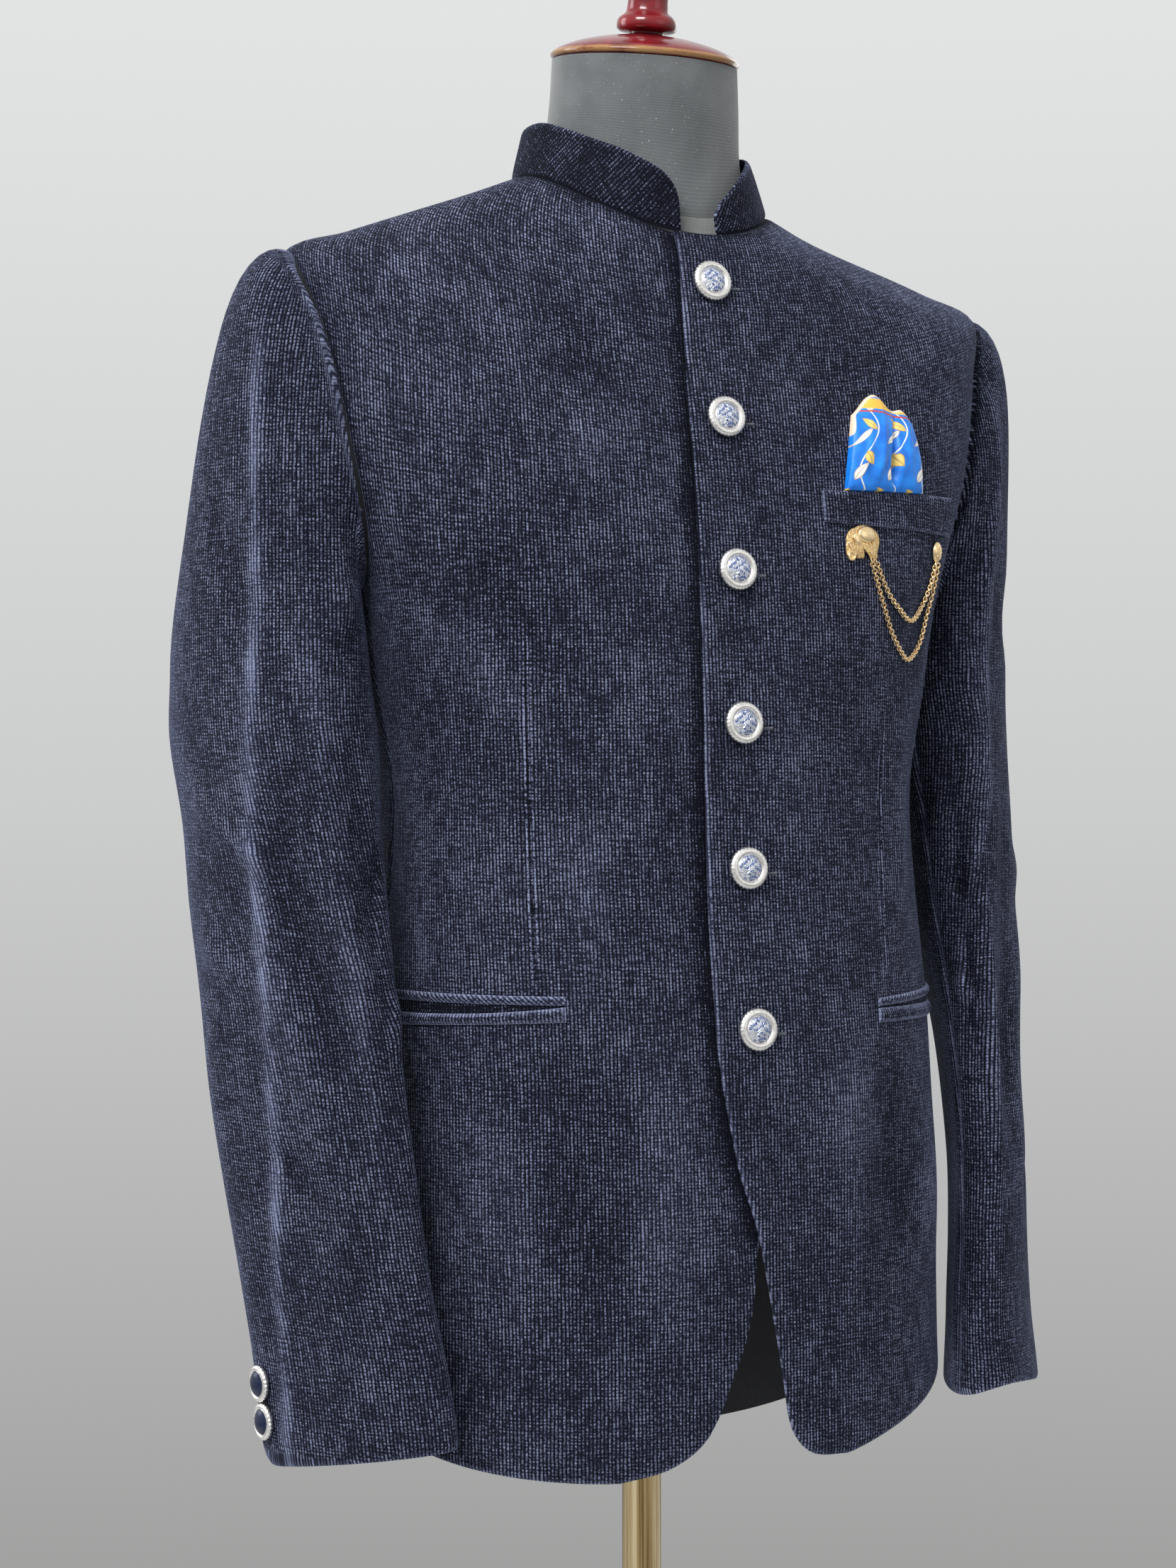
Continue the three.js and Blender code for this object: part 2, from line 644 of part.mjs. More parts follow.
// The stand collar, from its right end round the back to its left end. Its upper corners are round,
// and it leans in as it rises, a little more at the wearer's left.
function addCollar() {
  const rows = 3;
  const start = -angleAtX(collarBand.rightEnd, neckAt);
  const whole = 2 * Math.PI + start - angleAtX(collarBand.leftEnd, neckAt);
  const fine = 240;
  const lengths = [0];
  for (let i = 1; i <= fine; i += 1) {
    const before = bodyPoint(start - (whole * (i - 1)) / fine, neckAt);
    lengths.push(lengths[i - 1] + before.distanceTo(bodyPoint(start - (whole * i) / fine, neckAt)));
  }
  const angleAt = (along) => {
    const i = Math.min(fine - 1, Math.max(0, lengths.findIndex((length) => length >= along) - 1));
    const part = (along - lengths[i]) / (lengths[i + 1] - lengths[i]);
    return start - (whole * (i + part)) / fine;
  };
  const total = lengths[fine];
  const corner = collarHeights[collarHeights.length - 1];
  const plain = Math.round((total - 2 * corner.from) / collarRow);
  const places = collarHeights.map(({ from, right }) => ({ along: from, height: right }));
  for (let i = 1; i < plain; i += 1) {
    const t = i / plain;
    places.push({ along: mix(corner.from, total - corner.from, t), height: mix(corner.right, corner.left, t) });
  }
  [...collarHeights].reverse().forEach(({ from, left }) => places.push({ along: total - from, height: left }));
  const skin = (depth) => Array.from({ length: rows + 1 }, (unused, j) => places.map(({ along, height }) => {
    const foot = bodyPoint(angleAt(along), neckAt);
    const out = new THREE.Vector3(foot.x, foot.y - neckMidY, 0).normalize();
    const rise = (height * j) / rows;
    const share = rise / collarBand.height;
    foot.addScaledVector(out, -depth);
    foot.x += (collarBand.sway - collarBand.sideLean * out.x) * share;
    foot.y -= collarBand.frontLean * out.y * share;
    foot.z += collarClear + rise;
    return settled(foot);
  }));
  add("collar", wallGeometry(skin(0), skin(wall)), cloth());
}

// A patch of cloth lying on a front, from a function that gives its places.
function frontPatch(place, side, columns, rows, low, top) {
  const skin = (out) => Array.from({ length: rows + 1 }, (unusedRow, j) => (
    Array.from({ length: columns + 1 }, (unusedColumn, i) => {
      const { angle, at } = place(i / columns, j / rows);
      return mirrored(offBody(angle, at, out(i / columns, j / rows)), side);
    })
  ));
  return wallGeometry(skin(top), skin(() => low));
}

function placeAt(x, z) {
  const at = levelOnFront(x, z);
  return { angle: angleAtX(x, at), at };
}

// The breast welt and the folded square that stands in its pocket, with two soft humps.
function addBreastPocket() {
  const topAt = (x) => mix(weltTop.inner, weltTop.outer, (x - welt.inner) / (welt.outer - welt.inner));
  const weltPlace = (u, v) => {
    const x = mix(welt.inner, welt.outer, u);
    return placeAt(x, mix(mix(weltBottom.inner, weltBottom.outer, u), topAt(x), v));
  };
  add("breast_welt", frontPatch(weltPlace, 1, 10, 2, patchClear, () => patchClear + welt.thick), cloth());
  const hump = (u, { at, width }) => Math.exp(-(((u - at) / width) ** 2));
  const squarePlace = (u, v) => {
    const x = mix(mix(square.bottomInner, square.bottomOuter, u), mix(square.topInner, square.topOuter, u), v);
    const head = squareHumps.reduce((z, row) => z + row.rise * hump(u, row), square.shoulderZ);
    return placeAt(x, mix(topAt(x) + seamGap, head, v));
  };
  const swell = (u, v) => {
    const fold = Math.max(...squareHumps.map((row) => row.fold * hump(u, row)));
    return patchClear + 1.6 + square.swell * (0.45 + 0.55 * fold) * Math.sin(Math.PI * (0.12 + 0.82 * v)) ** 0.7;
  };
  add("pocket_square", frontPatch(squarePlace, 1, 12, 6, patchClear, swell), cloth(0x2f6fd0));
}

// One jetted pocket: an upper and a lower jet with the open mouth between them.
function addWaistPocket({ word, side, inner, outerAngle, z, rise }) {
  const thick = (u, v) => patchClear + jet.edge + jet.crown * Math.sin(Math.PI * v);
  const strip = (name, lowInner, highInner, lowOuter, highOuter) => {
    const place = (u, v) => {
      const at = mix(mix(lowInner, lowOuter, u), mix(highInner, highOuter, u), v);
      return { angle: mix(angleAtX(inner, at), outerAngle, u), at };
    };
    add(name, frontPatch(place, side, 8, 2, patchClear, thick), cloth());
  };
  strip(`jet_upper_${word}`, z + 0.7, z + 5.5, z + rise + 1, z + rise + 6.5);
  strip(`jet_lower_${word}`, z - 8.5, z - 0.2, z + rise - 14, z + rise - 6);
}

// A turned button's outline, from the middle of its back to the middle of its face.
function buttonProfile({ radius, height }) {
  return [
    [0, 0],
    [radius * 0.82, 0],
    [radius, height * 0.28],
    [radius, height * 0.55],
    [radius * 0.88, height * 0.78],
    [radius * 0.7, height * 0.72],
    [radius * 0.4, height * 0.93],
    [0, height],
  ];
}

// Sets a turned piece on the cloth, its axis along the cloth's normal.
function seat(mesh, point, normal) {
  mesh.quaternion.setFromUnitVectors(new THREE.Vector3(0, 0, 1), normal);
  mesh.position.copy(settled(point));
  return mesh;
}

function addFrontButtons() {
  buttonHeights.forEach((z, i) => {
    const at = levelOnFront(0, z);
    const mesh = add(`button_front_${i + 1}`, turned(buttonProfile(button), button.sides), metal(silverColour));
    seat(mesh, offBody(0, at, button.clear), bodyNormal(0, at));
  });
}

function addCuffButtons() {
  [["left", 1], ["right", -1]].forEach(([word, side]) => {
    cuffButtonHeights.forEach((z, i) => {
      const turn = THREE.MathUtils.degToRad(cuffButtonTurn);
      const round = sleevePoint(turn + 0.02, z).sub(sleevePoint(turn - 0.02, z));
      const up = sleevePoint(turn, z + 2).sub(sleevePoint(turn, z - 2));
      const normal = mirrored(round.cross(up).normalize(), side);
      const point = mirrored(sleevePoint(turn, z), side).addScaledVector(normal, cuffButton.clear);
      const shape = turned(buttonProfile(cuffButton), cuffButton.sides);
      const mesh = add(`button_cuff_${word}_${i + 1}`, shape, metal(silverColour));
      seat(mesh, point, normal);
    });
  });
}

// The brooch: a flat elephant facing the wearer's right, two chains and a small oval stud.
function addBrooch() {
  const outline = new THREE.Shape();
  outline.moveTo(-12.3, 1);
  outline.quadraticCurveTo(-13.2, -5, -12.6, -8);
  outline.quadraticCurveTo(-11.6, -11, -8.6, -10.4);
  outline.quadraticCurveTo(-6.6, -9, -8, -7.2);
  outline.lineTo(-9.2, -7.4);
  outline.quadraticCurveTo(-9.2, -4, -6, -3.6);
  outline.lineTo(-4.6, -9);
  outline.lineTo(0.2, -9);
  outline.lineTo(0.8, -5.4);
  outline.lineTo(4.4, -5.2);
  outline.lineTo(5, -8.8);
  outline.lineTo(10.4, -8.8);
  outline.lineTo(11, -4);
  outline.quadraticCurveTo(13.4, 0, 12.6, 5);
  outline.quadraticCurveTo(9.4, 10.4, 2.4, 10.4);
  outline.quadraticCurveTo(-3, 10.2, -5.4, 8.6);
  outline.quadraticCurveTo(-11, 7.6, -12.3, 1);
  const plate = new THREE.ExtrudeGeometry(outline, {
    depth: 1, curveSegments: 3, bevelThickness: 1, bevelSize: 1, bevelOffset: -1, bevelSegments: 1,
  });
  const { angle, at } = placeAt(brooch.x, brooch.z);
  const normal = bodyNormal(angle, at);
  const across = new THREE.Vector3(0, 0, 1).cross(normal).normalize();
  const upward = normal.clone().cross(across);
  const elephant = add("brooch_elephant", plate, metal(goldColour));
  elephant.quaternion.setFromRotationMatrix(new THREE.Matrix4().makeBasis(across, upward, normal));
  elephant.position.copy(settled(offBody(angle, at, 1.6)));
  const studPlace = placeAt(stud.x, stud.z);
  const dome = turned([[0, 0], [stud.radius, 0], [stud.radius, 1], [stud.radius * 0.7, 2.8], [0, 3.6]], 14);
  dome.scale(0.8, 1, 1);
  const studMesh = add("brooch_stud", dome, metal(goldColour));
  seat(studMesh, offBody(studPlace.angle, studPlace.at, 0.5), bodyNormal(studPlace.angle, studPlace.at));
  const section = new THREE.Shape();
  for (let i = 0; i < 6; i += 1) {
    const turn = (i * Math.PI) / 3;
    section[i === 0 ? "moveTo" : "lineTo"](chainRadius * Math.cos(turn), chainRadius * Math.sin(turn));
  }
  section.closePath();
  [["short", shortChain], ["long", longChain]].forEach(([word, route]) => {
    const places = route.map(({ x, z }) => settled(onFront(x, z, chainRadius + 0.9)));
    const line = new THREE.CatmullRomCurve3(places);
    const link = new THREE.ExtrudeGeometry(section, { steps: 20, extrudePath: line });
    add(`brooch_chain_${word}`, link, metal(goldColour));
  });
}

// How far the form stands inside the cloth: close at the shoulders and looser below.
function formInset(angle, at) {
  const loose = mix(formClear.body, formClear.shoulder, ease((at - underarmAt) / (tipAt - underarmAt)));
  const x = Math.abs(bodyPoint(angle, at).x);
  const lap = Math.cos(angle) > 0 ? (wall + lapGap) * (1 - ease((x - 34) / 30)) : 0;
  const away = Math.abs(Math.sin(2 * angle)) ** 0.3;
  return wall + loose + lap + away * (Math.cos(angle) > 0 ? formClear.frontBlade : formClear.backBlade);
}

// The form's own foundation: the torso that the jacket hangs on, and its covered neck.
function addForm() {
  const levels = [formBottom, 884, 935, 985, 1077, 1125, 1180, ...armLevels(), ...shoulderLevels];
  const torso = levels.map((at) => {
    const front = evenAngles(0, quarterTurn, at, formSides / 4);
    const half = [...front, ...evenAngles(quarterTurn, Math.PI, at, formSides / 4).slice(1)];
    const angles = [...half, ...half.slice(1, -1).reverse().map((angle) => 2 * Math.PI - angle)];
    const tuck = at === formBottom ? bottomTuck : at === neckAt ? neckTuck : 0;
    return angles.map((angle) => {
      const p = offBody(angle, at, -formInset(angle, at) - tuck);
      return settled(at === formBottom ? p.setZ(formBottom) : p);
    });
  });
  const neckRing = (ring, up) => Array.from({ length: formSides }, (unused, i) => {
    const angle = (i / formSides) * 2 * Math.PI;
    const forward = Math.cos(angle) > 0;
    const depth = forward ? ring.front : ring.back;
    const y = ring.midY - Math.cos(angle) * depth;
    const rise = Math.abs(Math.cos(angle)) ** ring.roll;
    const z = mix(ring.sideZ, forward ? ring.frontZ : ring.backZ, rise);
    const p = new THREE.Vector3(Math.sin(angle) * ring.half, y, z);
    const lower = settled(p.clone()).z - z;
    return p.setZ(z + up + lower * ring.follow);
  });
  torso.push(neckRing(neckRings[0], 0));
  add("form_torso", loftGeometry(torso), cloth(0x8f928f));
  add("form_neck", loftGeometry(neckRings.map((ring) => neckRing(ring, seamGap))), cloth(0x4c5256));
}

function addNeckCap() {
  const profile = [
    [0, 0], [54, 0], [56.6, 1.2], [57, 2.6], [56, 4.4], [50, 8.4], [38, 12.4], [22, 15.6], [11, 17], [10.4, 19],
    [17, 19.6], [18, 21], [18, 25.6], [16.4, 27.8], [12.7, 29.4], [12.4, 42], [15, 48], [19, 54], [20.5, 62],
    [18, 70], [11, 76], [0, 78],
  ];
  const cap = add("neck_cap", turned(profile, 22), metal(0x6e1a20, 0.2));
  cap.rotation.set(THREE.MathUtils.degToRad(neckTilt), 0, 0);
  cap.position.set(0, neckTop.y, neckTop.z + 2 * seamGap);
}

function addStand() {
  const poleFoot = baseSize.hubTop + seamGap;
  const poleHead = formBottom - seamGap;
  const pole = new THREE.CylinderGeometry(poleRadius, poleRadius, poleHead - poleFoot, 24).rotateX(quarterTurn);
  add("stand_pole", pole, metal(brassColour)).position.set(0, 0, (poleHead + poleFoot) / 2);
  const { radius, plate, rim, hub, hubTop } = baseSize;
  const profile = [
    [0, 0], [radius - 2, 0], [radius, 2], [radius, rim], [radius - 4, rim + 3], [hub + 12, plate + 3],
    [hub, plate + 6], [hub - 6, hubTop - 4], [hub - 9, hubTop], [0, hubTop],
  ];
  add("stand_base", turned(profile, 28), metal(brassColour));
}

addPanels();
addSleeves();
addCollar();
addBreastPocket();
waistPockets.forEach(addWaistPocket);
addFrontButtons();
addCuffButtons();
addBrooch();
addForm();
addNeckCap();
addStand();

export default group;
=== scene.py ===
import bpy
import bmesh
import math
import numpy as np
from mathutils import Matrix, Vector


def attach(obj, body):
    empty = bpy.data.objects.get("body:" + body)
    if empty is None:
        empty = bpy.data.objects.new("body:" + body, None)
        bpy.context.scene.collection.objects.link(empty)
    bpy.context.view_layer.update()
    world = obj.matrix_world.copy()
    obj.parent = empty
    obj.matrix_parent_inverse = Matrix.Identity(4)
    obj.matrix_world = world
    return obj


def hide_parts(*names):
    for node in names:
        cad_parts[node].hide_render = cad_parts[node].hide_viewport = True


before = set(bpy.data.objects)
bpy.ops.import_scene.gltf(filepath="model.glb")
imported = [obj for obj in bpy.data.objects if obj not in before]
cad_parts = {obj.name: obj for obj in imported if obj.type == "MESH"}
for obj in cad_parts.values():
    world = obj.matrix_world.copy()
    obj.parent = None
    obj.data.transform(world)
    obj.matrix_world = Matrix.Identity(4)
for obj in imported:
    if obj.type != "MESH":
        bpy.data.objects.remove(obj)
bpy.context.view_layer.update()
print("frame loaded")

mm = 0.001
quarterTurn = math.pi / 2


# Small helpers for numbers and tables
def table(header, *lines):
    return {name: np.array([line[i] for line in lines], float) for i, name in enumerate(header.split())}


def readTable(rows, key, level, by="at"):
    # a smooth curve through the rows of one column
    x, y = rows[by], rows[key]
    last = len(x) - 1
    level = np.asarray(level, float)
    i = np.clip(np.searchsorted(x, level, side="left") - 1, 0, last - 1)
    order = np.arange(last + 1)
    low, high = np.maximum(order - 1, 0), np.minimum(order + 1, last)
    slopes = (y[high] - y[low]) / (x[high] - x[low])
    span = x[i + 1] - x[i]
    t = (level - x[i]) / span
    value = (2 * t**3 - 3 * t**2 + 1) * y[i] + (3 * t**2 - 2 * t**3) * y[i + 1]
    return value + span * ((t**3 - 2 * t**2 + t) * slopes[i] + (t**3 - t**2) * slopes[i + 1])


def blendTo(a, b, t):
    return a + (b - a) * t


def ease(t):
    s = np.clip(t, 0, 1)
    return s * s * (3 - 2 * s)


def unit(v):
    return v / np.linalg.norm(v, axis=-1, keepdims=True)


def fullTurn(count):
    return 2 * math.pi * np.arange(count) / count


def runAlong(points):
    # the distance of each point from the first, along the line through them
    steps = np.linalg.norm(np.diff(points, axis=0), axis=-1)
    return np.concatenate([np.zeros_like(steps[:1]), np.cumsum(steps, axis=0)])


def finer(levels, parts):
    # the same levels with each step cut in equal parts
    steps = [np.linspace(a, b, parts, endpoint=False) for a, b in zip(levels[:-1], levels[1:])]
    return np.concatenate([*steps, levels[-1:]])


# Camera: level with the gap between the fourth and fifth buttons, turned a little to the wearer's right
view = {"turn": 27, "away": 1.8, "height": 1.11, "focal": 4217, "poleX": 905, "horizonY": 1140,
        "wide": 1659, "tall": 2212}


def addCamera():
    data = bpy.data.cameras.new("camera")
    data.sensor_fit = "VERTICAL"
    data.sensor_height = 36
    data.lens = view["focal"] / view["tall"] * 36
    data.clip_end = 50
    camera = bpy.data.objects.new("camera", data)
    bpy.context.scene.collection.objects.link(camera)
    turn = math.radians(view["turn"])
    camera.location = (-view["away"] * math.sin(turn), -view["away"] * math.cos(turn), view["height"])
    left = math.atan((view["poleX"] - view["wide"] / 2) / view["focal"])
    up = math.atan((view["horizonY"] - view["tall"] / 2) / view["focal"])
    camera.rotation_euler = (quarterTurn + up, 0, left - turn)
    bpy.context.scene.camera = camera


addCamera()


# Materials are graphs of a few nodes; Wire lets their numbers be written as plain sums
class Wire:
    def __init__(self, tree, socket):
        self.tree = tree
        self.socket = socket

    def math(self, operation, other=0.0, third=0.0):
        node = self.tree.nodes.new("ShaderNodeMath")
        node.operation = operation
        for i, value in enumerate((self, other, third)):
            plug(self.tree, node.inputs[i], value)
        return Wire(self.tree, node.outputs[0])

    def __add__(self, other):
        return self.math("ADD", other)

    def __sub__(self, other):
        return self.math("SUBTRACT", other)

    def __mul__(self, other):
        return self.math("MULTIPLY", other)

    def __truediv__(self, other):
        return self.math("DIVIDE", other)

    def sine(self):
        return self.math("SINE")

    def waves(self, pitch):
        # from 0 to 1 and back once in each pitch
        return (self * (2 * math.pi / pitch)).sine() * 0.5 + 0.5

    def size(self):
        return self.math("ABSOLUTE")

    def power(self, other):
        return self.math("POWER", other)

    def between(self, low, high):
        # 0 below low and 1 above high, with a smooth step
        node = self.tree.nodes.new("ShaderNodeMapRange")
        node.interpolation_type = "SMOOTHSTEP"
        plug(self.tree, node.inputs["Value"], self)
        node.inputs["From Min"].default_value = low
        node.inputs["From Max"].default_value = high
        return Wire(self.tree, node.outputs["Result"])


def plug(tree, socket, value):
    if isinstance(value, Wire):
        tree.links.new(value.socket, socket)
    else:
        socket.default_value = value


def newMaterial(name, **constants):
    material = bpy.data.materials.new(name)
    material.use_nodes = True
    shader = material.node_tree.nodes["Principled BSDF"]
    for key, value in constants.items():
        shader.inputs[key.replace("_", " ")].default_value = value
    return material, material.node_tree, shader


def node(tree, kind, output=0, settings=(), **inputs):
    made = tree.nodes.new(kind)
    for key, value in dict(settings).items():
        setattr(made, key, value)
    for key, value in inputs.items():
        plug(tree, made.inputs[key], value)
    return Wire(tree, made.outputs[output])


def axesOf(tree, vector):
    split = tree.nodes.new("ShaderNodeSeparateXYZ")
    plug(tree, split.inputs[0], vector)
    return [Wire(tree, socket) for socket in split.outputs]


def uvParts(tree, name, scale=1000.0):
    # the two directions of a piece's own cloth, in millimetres
    axes = axesOf(tree, node(tree, "ShaderNodeUVMap", settings={"uv_map": name}))
    return axes[0] * scale, axes[1] * scale


def edgeOf(tree):
    return node(tree, "ShaderNodeAttribute", "Fac", settings={"attribute_name": "edge"})


def vectorOf(tree, x, y, z=0.0):
    return node(tree, "ShaderNodeCombineXYZ", X=x, Y=y, Z=z)


def noiseOf(tree, vector, scale=1.0, detail=2.0, roughness=0.5):
    return node(tree, "ShaderNodeTexNoise", Vector=vector, Scale=scale, Detail=detail, Roughness=roughness)


def placeOf(tree):
    return node(tree, "ShaderNodeTexCoord", "Object")


def colourBy(tree, fac, *stops):
    ramp = tree.nodes.new("ShaderNodeValToRGB")
    plug(tree, ramp.inputs[0], fac)
    elements = ramp.color_ramp.elements
    while len(elements) < len(stops):
        elements.new(0.5)
    for element, (at, colour) in zip(elements, stops):
        element.position = at
        element.color = (*colour, 1)
    return Wire(tree, ramp.outputs[0])


def mixColour(tree, fac, a, b):
    made = tree.nodes.new("ShaderNodeMix")
    made.data_type = "RGBA"
    plug(tree, made.inputs[0], fac)
    for socket, value in ((made.inputs[6], a), (made.inputs[7], b)):
        plug(tree, socket, value if isinstance(value, Wire) else (*value, 1))
    return Wire(tree, made.outputs[2])


def bumpFrom(tree, shader, height, distance, strength=1.0):
    bump = node(tree, "ShaderNodeBump", Height=height, Distance=distance, Strength=strength)
    plug(tree, shader.inputs["Normal"], bump)


velvetLook = {
    "pitch": 2.1,  # from wale to wale
    "bars": 1.75,  # from bar to bar of the pile along a wale
    "dark": (0.0025, 0.003, 0.007), "middle": (0.0235, 0.027, 0.05), "light": (0.22, 0.25, 0.38),
    "sheen": 0.2, "sheenTint": (0.4, 0.48, 0.8, 1), "roughness": 0.92,
}


def velvetMaterial(name, dart=None, paintedShade=0.0):
    # fine wales broken by short bars of pile, in streaks of lighter and darker yarn
    look = velvetLook
    material, tree, shader = newMaterial(
        name, Roughness=look["roughness"], Sheen_Weight=look["sheen"], Sheen_Roughness=0.24,
        Sheen_Tint=look["sheenTint"], Specular_IOR_Level=0.12)
    u, v = uvParts(tree, "grain")
    wander = noiseOf(tree, vectorOf(tree, u / 9.0, v / 22.0)) * 1.1
    wale = (u + wander).waves(look["pitch"])
    lift = noiseOf(tree, vectorOf(tree, u / 5.0, v / 7.0)) * 1.6
    bars = (v + lift).waves(look["bars"])
    upright = noiseOf(tree, vectorOf(tree, u / 1.6, v / 15.0), detail=1.0)
    level = noiseOf(tree, vectorOf(tree, u / 13.0, v / 1.3 + u * 0.02 + 30.0), detail=1.0)
    tufts = noiseOf(tree, vectorOf(tree, u / 1.5 + 9.0, v / 1.3), detail=1.0)
    patches = noiseOf(tree, vectorOf(tree, u / 28.0, v / 48.0), detail=3.0, roughness=0.6)
    yarn = upright * 0.3 + level * 0.32 + tufts * 0.62 + patches * 0.2
    lit = yarn.between(0.56, 0.95)
    height = wale * 0.6 + bars * 0.2 + tufts * 0.3
    edge = edgeOf(tree)
    groove = wale.between(0.08, 0.7)
    # the 'edge' attribute makes edges paler and carries the painted highlights and painted shade set on each piece;
    # the last term darkens a whole copy of the velvet as painted shade
    tone = (groove * 0.88 + 0.12) * (bars * 0.34 + 0.66) * (lit * 0.8 + 0.2) + edge * 0.26 + paintedShade
    if dart:
        # a sewn dart: a thin dark line of painted shade, with a lifted lip on each side lightened as a painted
        # highlight
        away = (u - dart["u"] - (v - dart["low"]) * dart["lean"]).size()
        length = v.between(dart["low"], dart["low"] + 12) * (v * -1).between(-dart["high"], 12 - dart["high"])
        line = (away * -1).between(-1.0, -0.25) * length
        lip = (away * -1).between(-3.4, -1.6) * length - line
        height = height - line * 1.6 + lip * 0.25
        tone = tone - line * 0.25 + lip * lit.between(0.1, 0.5) * 0.3
    base = colourBy(tree, tone, (0.06, look["dark"]), (0.34, look["middle"]), (0.9, look["light"]))
    plug(tree, shader.inputs["Base Color"], base)
    bumpFrom(tree, shader, height, 0.00055, 0.85)
    return material


def liningMaterial():
    material, tree, shader = newMaterial("lining_satin", Roughness=0.46, Sheen_Weight=0.2, Specular_IOR_Level=0.35)
    u, v = uvParts(tree, "grain")
    weave = (u * 9.0).sine() * (v * 9.0).sine()
    cloud = noiseOf(tree, vectorOf(tree, u / 30.0, v / 30.0))
    tone = colourBy(tree, cloud, (0.3, (0.004, 0.0045, 0.008)), (0.7, (0.009, 0.01, 0.016)))
    plug(tree, shader.inputs["Base Color"], tone)
    bumpFrom(tree, shader, weave, 0.0001, 0.4)
    return material


metalGrain = {"scale": 900.0, "scratches": 0.00004}


def metalMaterial(name, bright, dull, roughness):
    material, tree, shader = newMaterial(name, Metallic=1.0)
    grime = noiseOf(tree, placeOf(tree), metalGrain["scale"], 4.0, 0.6)
    plug(tree, shader.inputs["Base Color"], colourBy(tree, grime, (0.3, dull), (0.62, bright)))
    plug(tree, shader.inputs["Roughness"], grime * 0.16 + roughness)
    fine = noiseOf(tree, placeOf(tree), metalGrain["scale"] * 2.2, 3.0)
    bumpFrom(tree, shader, fine, metalGrain["scratches"], 0.5)
    return material


def brassMaterial():
    # drawn brass, streaked along its length, and darker at the sides of a turn with painted reflections
    material, tree, shader = newMaterial("stand_brass", Metallic=1.0)
    u, v = uvParts(tree, "grain")
    streaks = noiseOf(tree, vectorOf(tree, u / 1.3, v / 150.0), detail=4.0, roughness=0.6)
    # bands: painted reflections, dark and bright bands round the turn
    bands = noiseOf(tree, vectorOf(tree, u / 8.0, v / 900.0), detail=1.0)
    wearAndShine = streaks * 0.5 + bands * 0.8 - 0.15
    plug(tree, shader.inputs["Base Color"], colourBy(
        tree, wearAndShine, (0.34, (0.16, 0.1, 0.035)), (0.48, (0.46, 0.33, 0.16)), (0.62, (0.8, 0.66, 0.42))))
    plug(tree, shader.inputs["Roughness"], streaks * 0.2 + 0.18)
    bumpFrom(tree, shader, streaks, 0.00004, 0.4)
    return material


def enamelMaterial():
    # blue and silver chips set as a six-petalled flower
    material, tree, shader = newMaterial("button_enamel", Roughness=0.2, Coat_Weight=0.7, Coat_Roughness=0.08)
    x, y = uvParts(tree, "face", 1.0)
    away = (x * x + y * y).power(0.5)
    turn = x.math("ARCTAN2", y)
    across, chipScale = vectorOf(tree, x, y), 4.6
    chips = node(tree, "ShaderNodeTexVoronoi", "Color", Vector=across, Scale=chipScale)
    joints = node(tree, "ShaderNodeTexVoronoi", "Distance", {"feature": "DISTANCE_TO_EDGE"}, Vector=across,
                  Scale=chipScale)
    chance = node(tree, "ShaderNodeSeparateColor", 0, Color=chips)
    petals = (turn * 6.0).sine() * 0.17 + 0.56
    flower = (away - petals).between(-0.05, 0.05)
    heart = away.between(0.17, 0.2)
    silvered = (chance.between(0.44, 0.5) * 0.6 + (flower * -1 + 1) * 0.42).between(0.42, 0.62)
    seam = (joints * -1).between(-0.07, -0.03)
    blue = mixColour(tree, chance, (0.03, 0.06, 0.2), (0.16, 0.25, 0.52))
    chipColour = mixColour(tree, silvered, blue, (0.62, 0.66, 0.74))
    joined = mixColour(tree, seam, chipColour, (0.7, 0.72, 0.76))
    plug(tree, shader.inputs["Base Color"], mixColour(tree, heart, (0.62, 0.66, 0.74), joined))
    plug(tree, shader.inputs["Metallic"], seam.math("MAXIMUM", silvered) * 0.75)
    bumpFrom(tree, shader, joints.between(0.0, 0.1), 0.00025, 0.7)
    return material


def darkDomeMaterial():
    material, tree, shader = newMaterial(
        "cuff_dome", Roughness=0.34, Specular_IOR_Level=0.25, Coat_Weight=0.12, Coat_Roughness=0.1)
    mottle = noiseOf(tree, placeOf(tree), 700.0, 3.0)
    tone = colourBy(tree, mottle, (0.3, (0.004, 0.008, 0.026)), (0.7, (0.012, 0.02, 0.06)))
    plug(tree, shader.inputs["Base Color"], tone)
    bumpFrom(tree, shader, mottle, 0.00006, 0.4)
    return material


silkBand = {"low": 51.0, "high": 58.5, "line": 49.4}
silkCell = {"wide": 24.0, "tall": 21.0}
silkLeaves = [
    {"shift": 0.0, "lean": 0.8, "length": 6.8, "wide": 2.7, "tint": (0.86, 0.87, 0.84)},
    {"shift": 13.0, "lean": -0.7, "length": 6.2, "wide": 2.5, "tint": (0.85, 0.62, 0.16)},
]


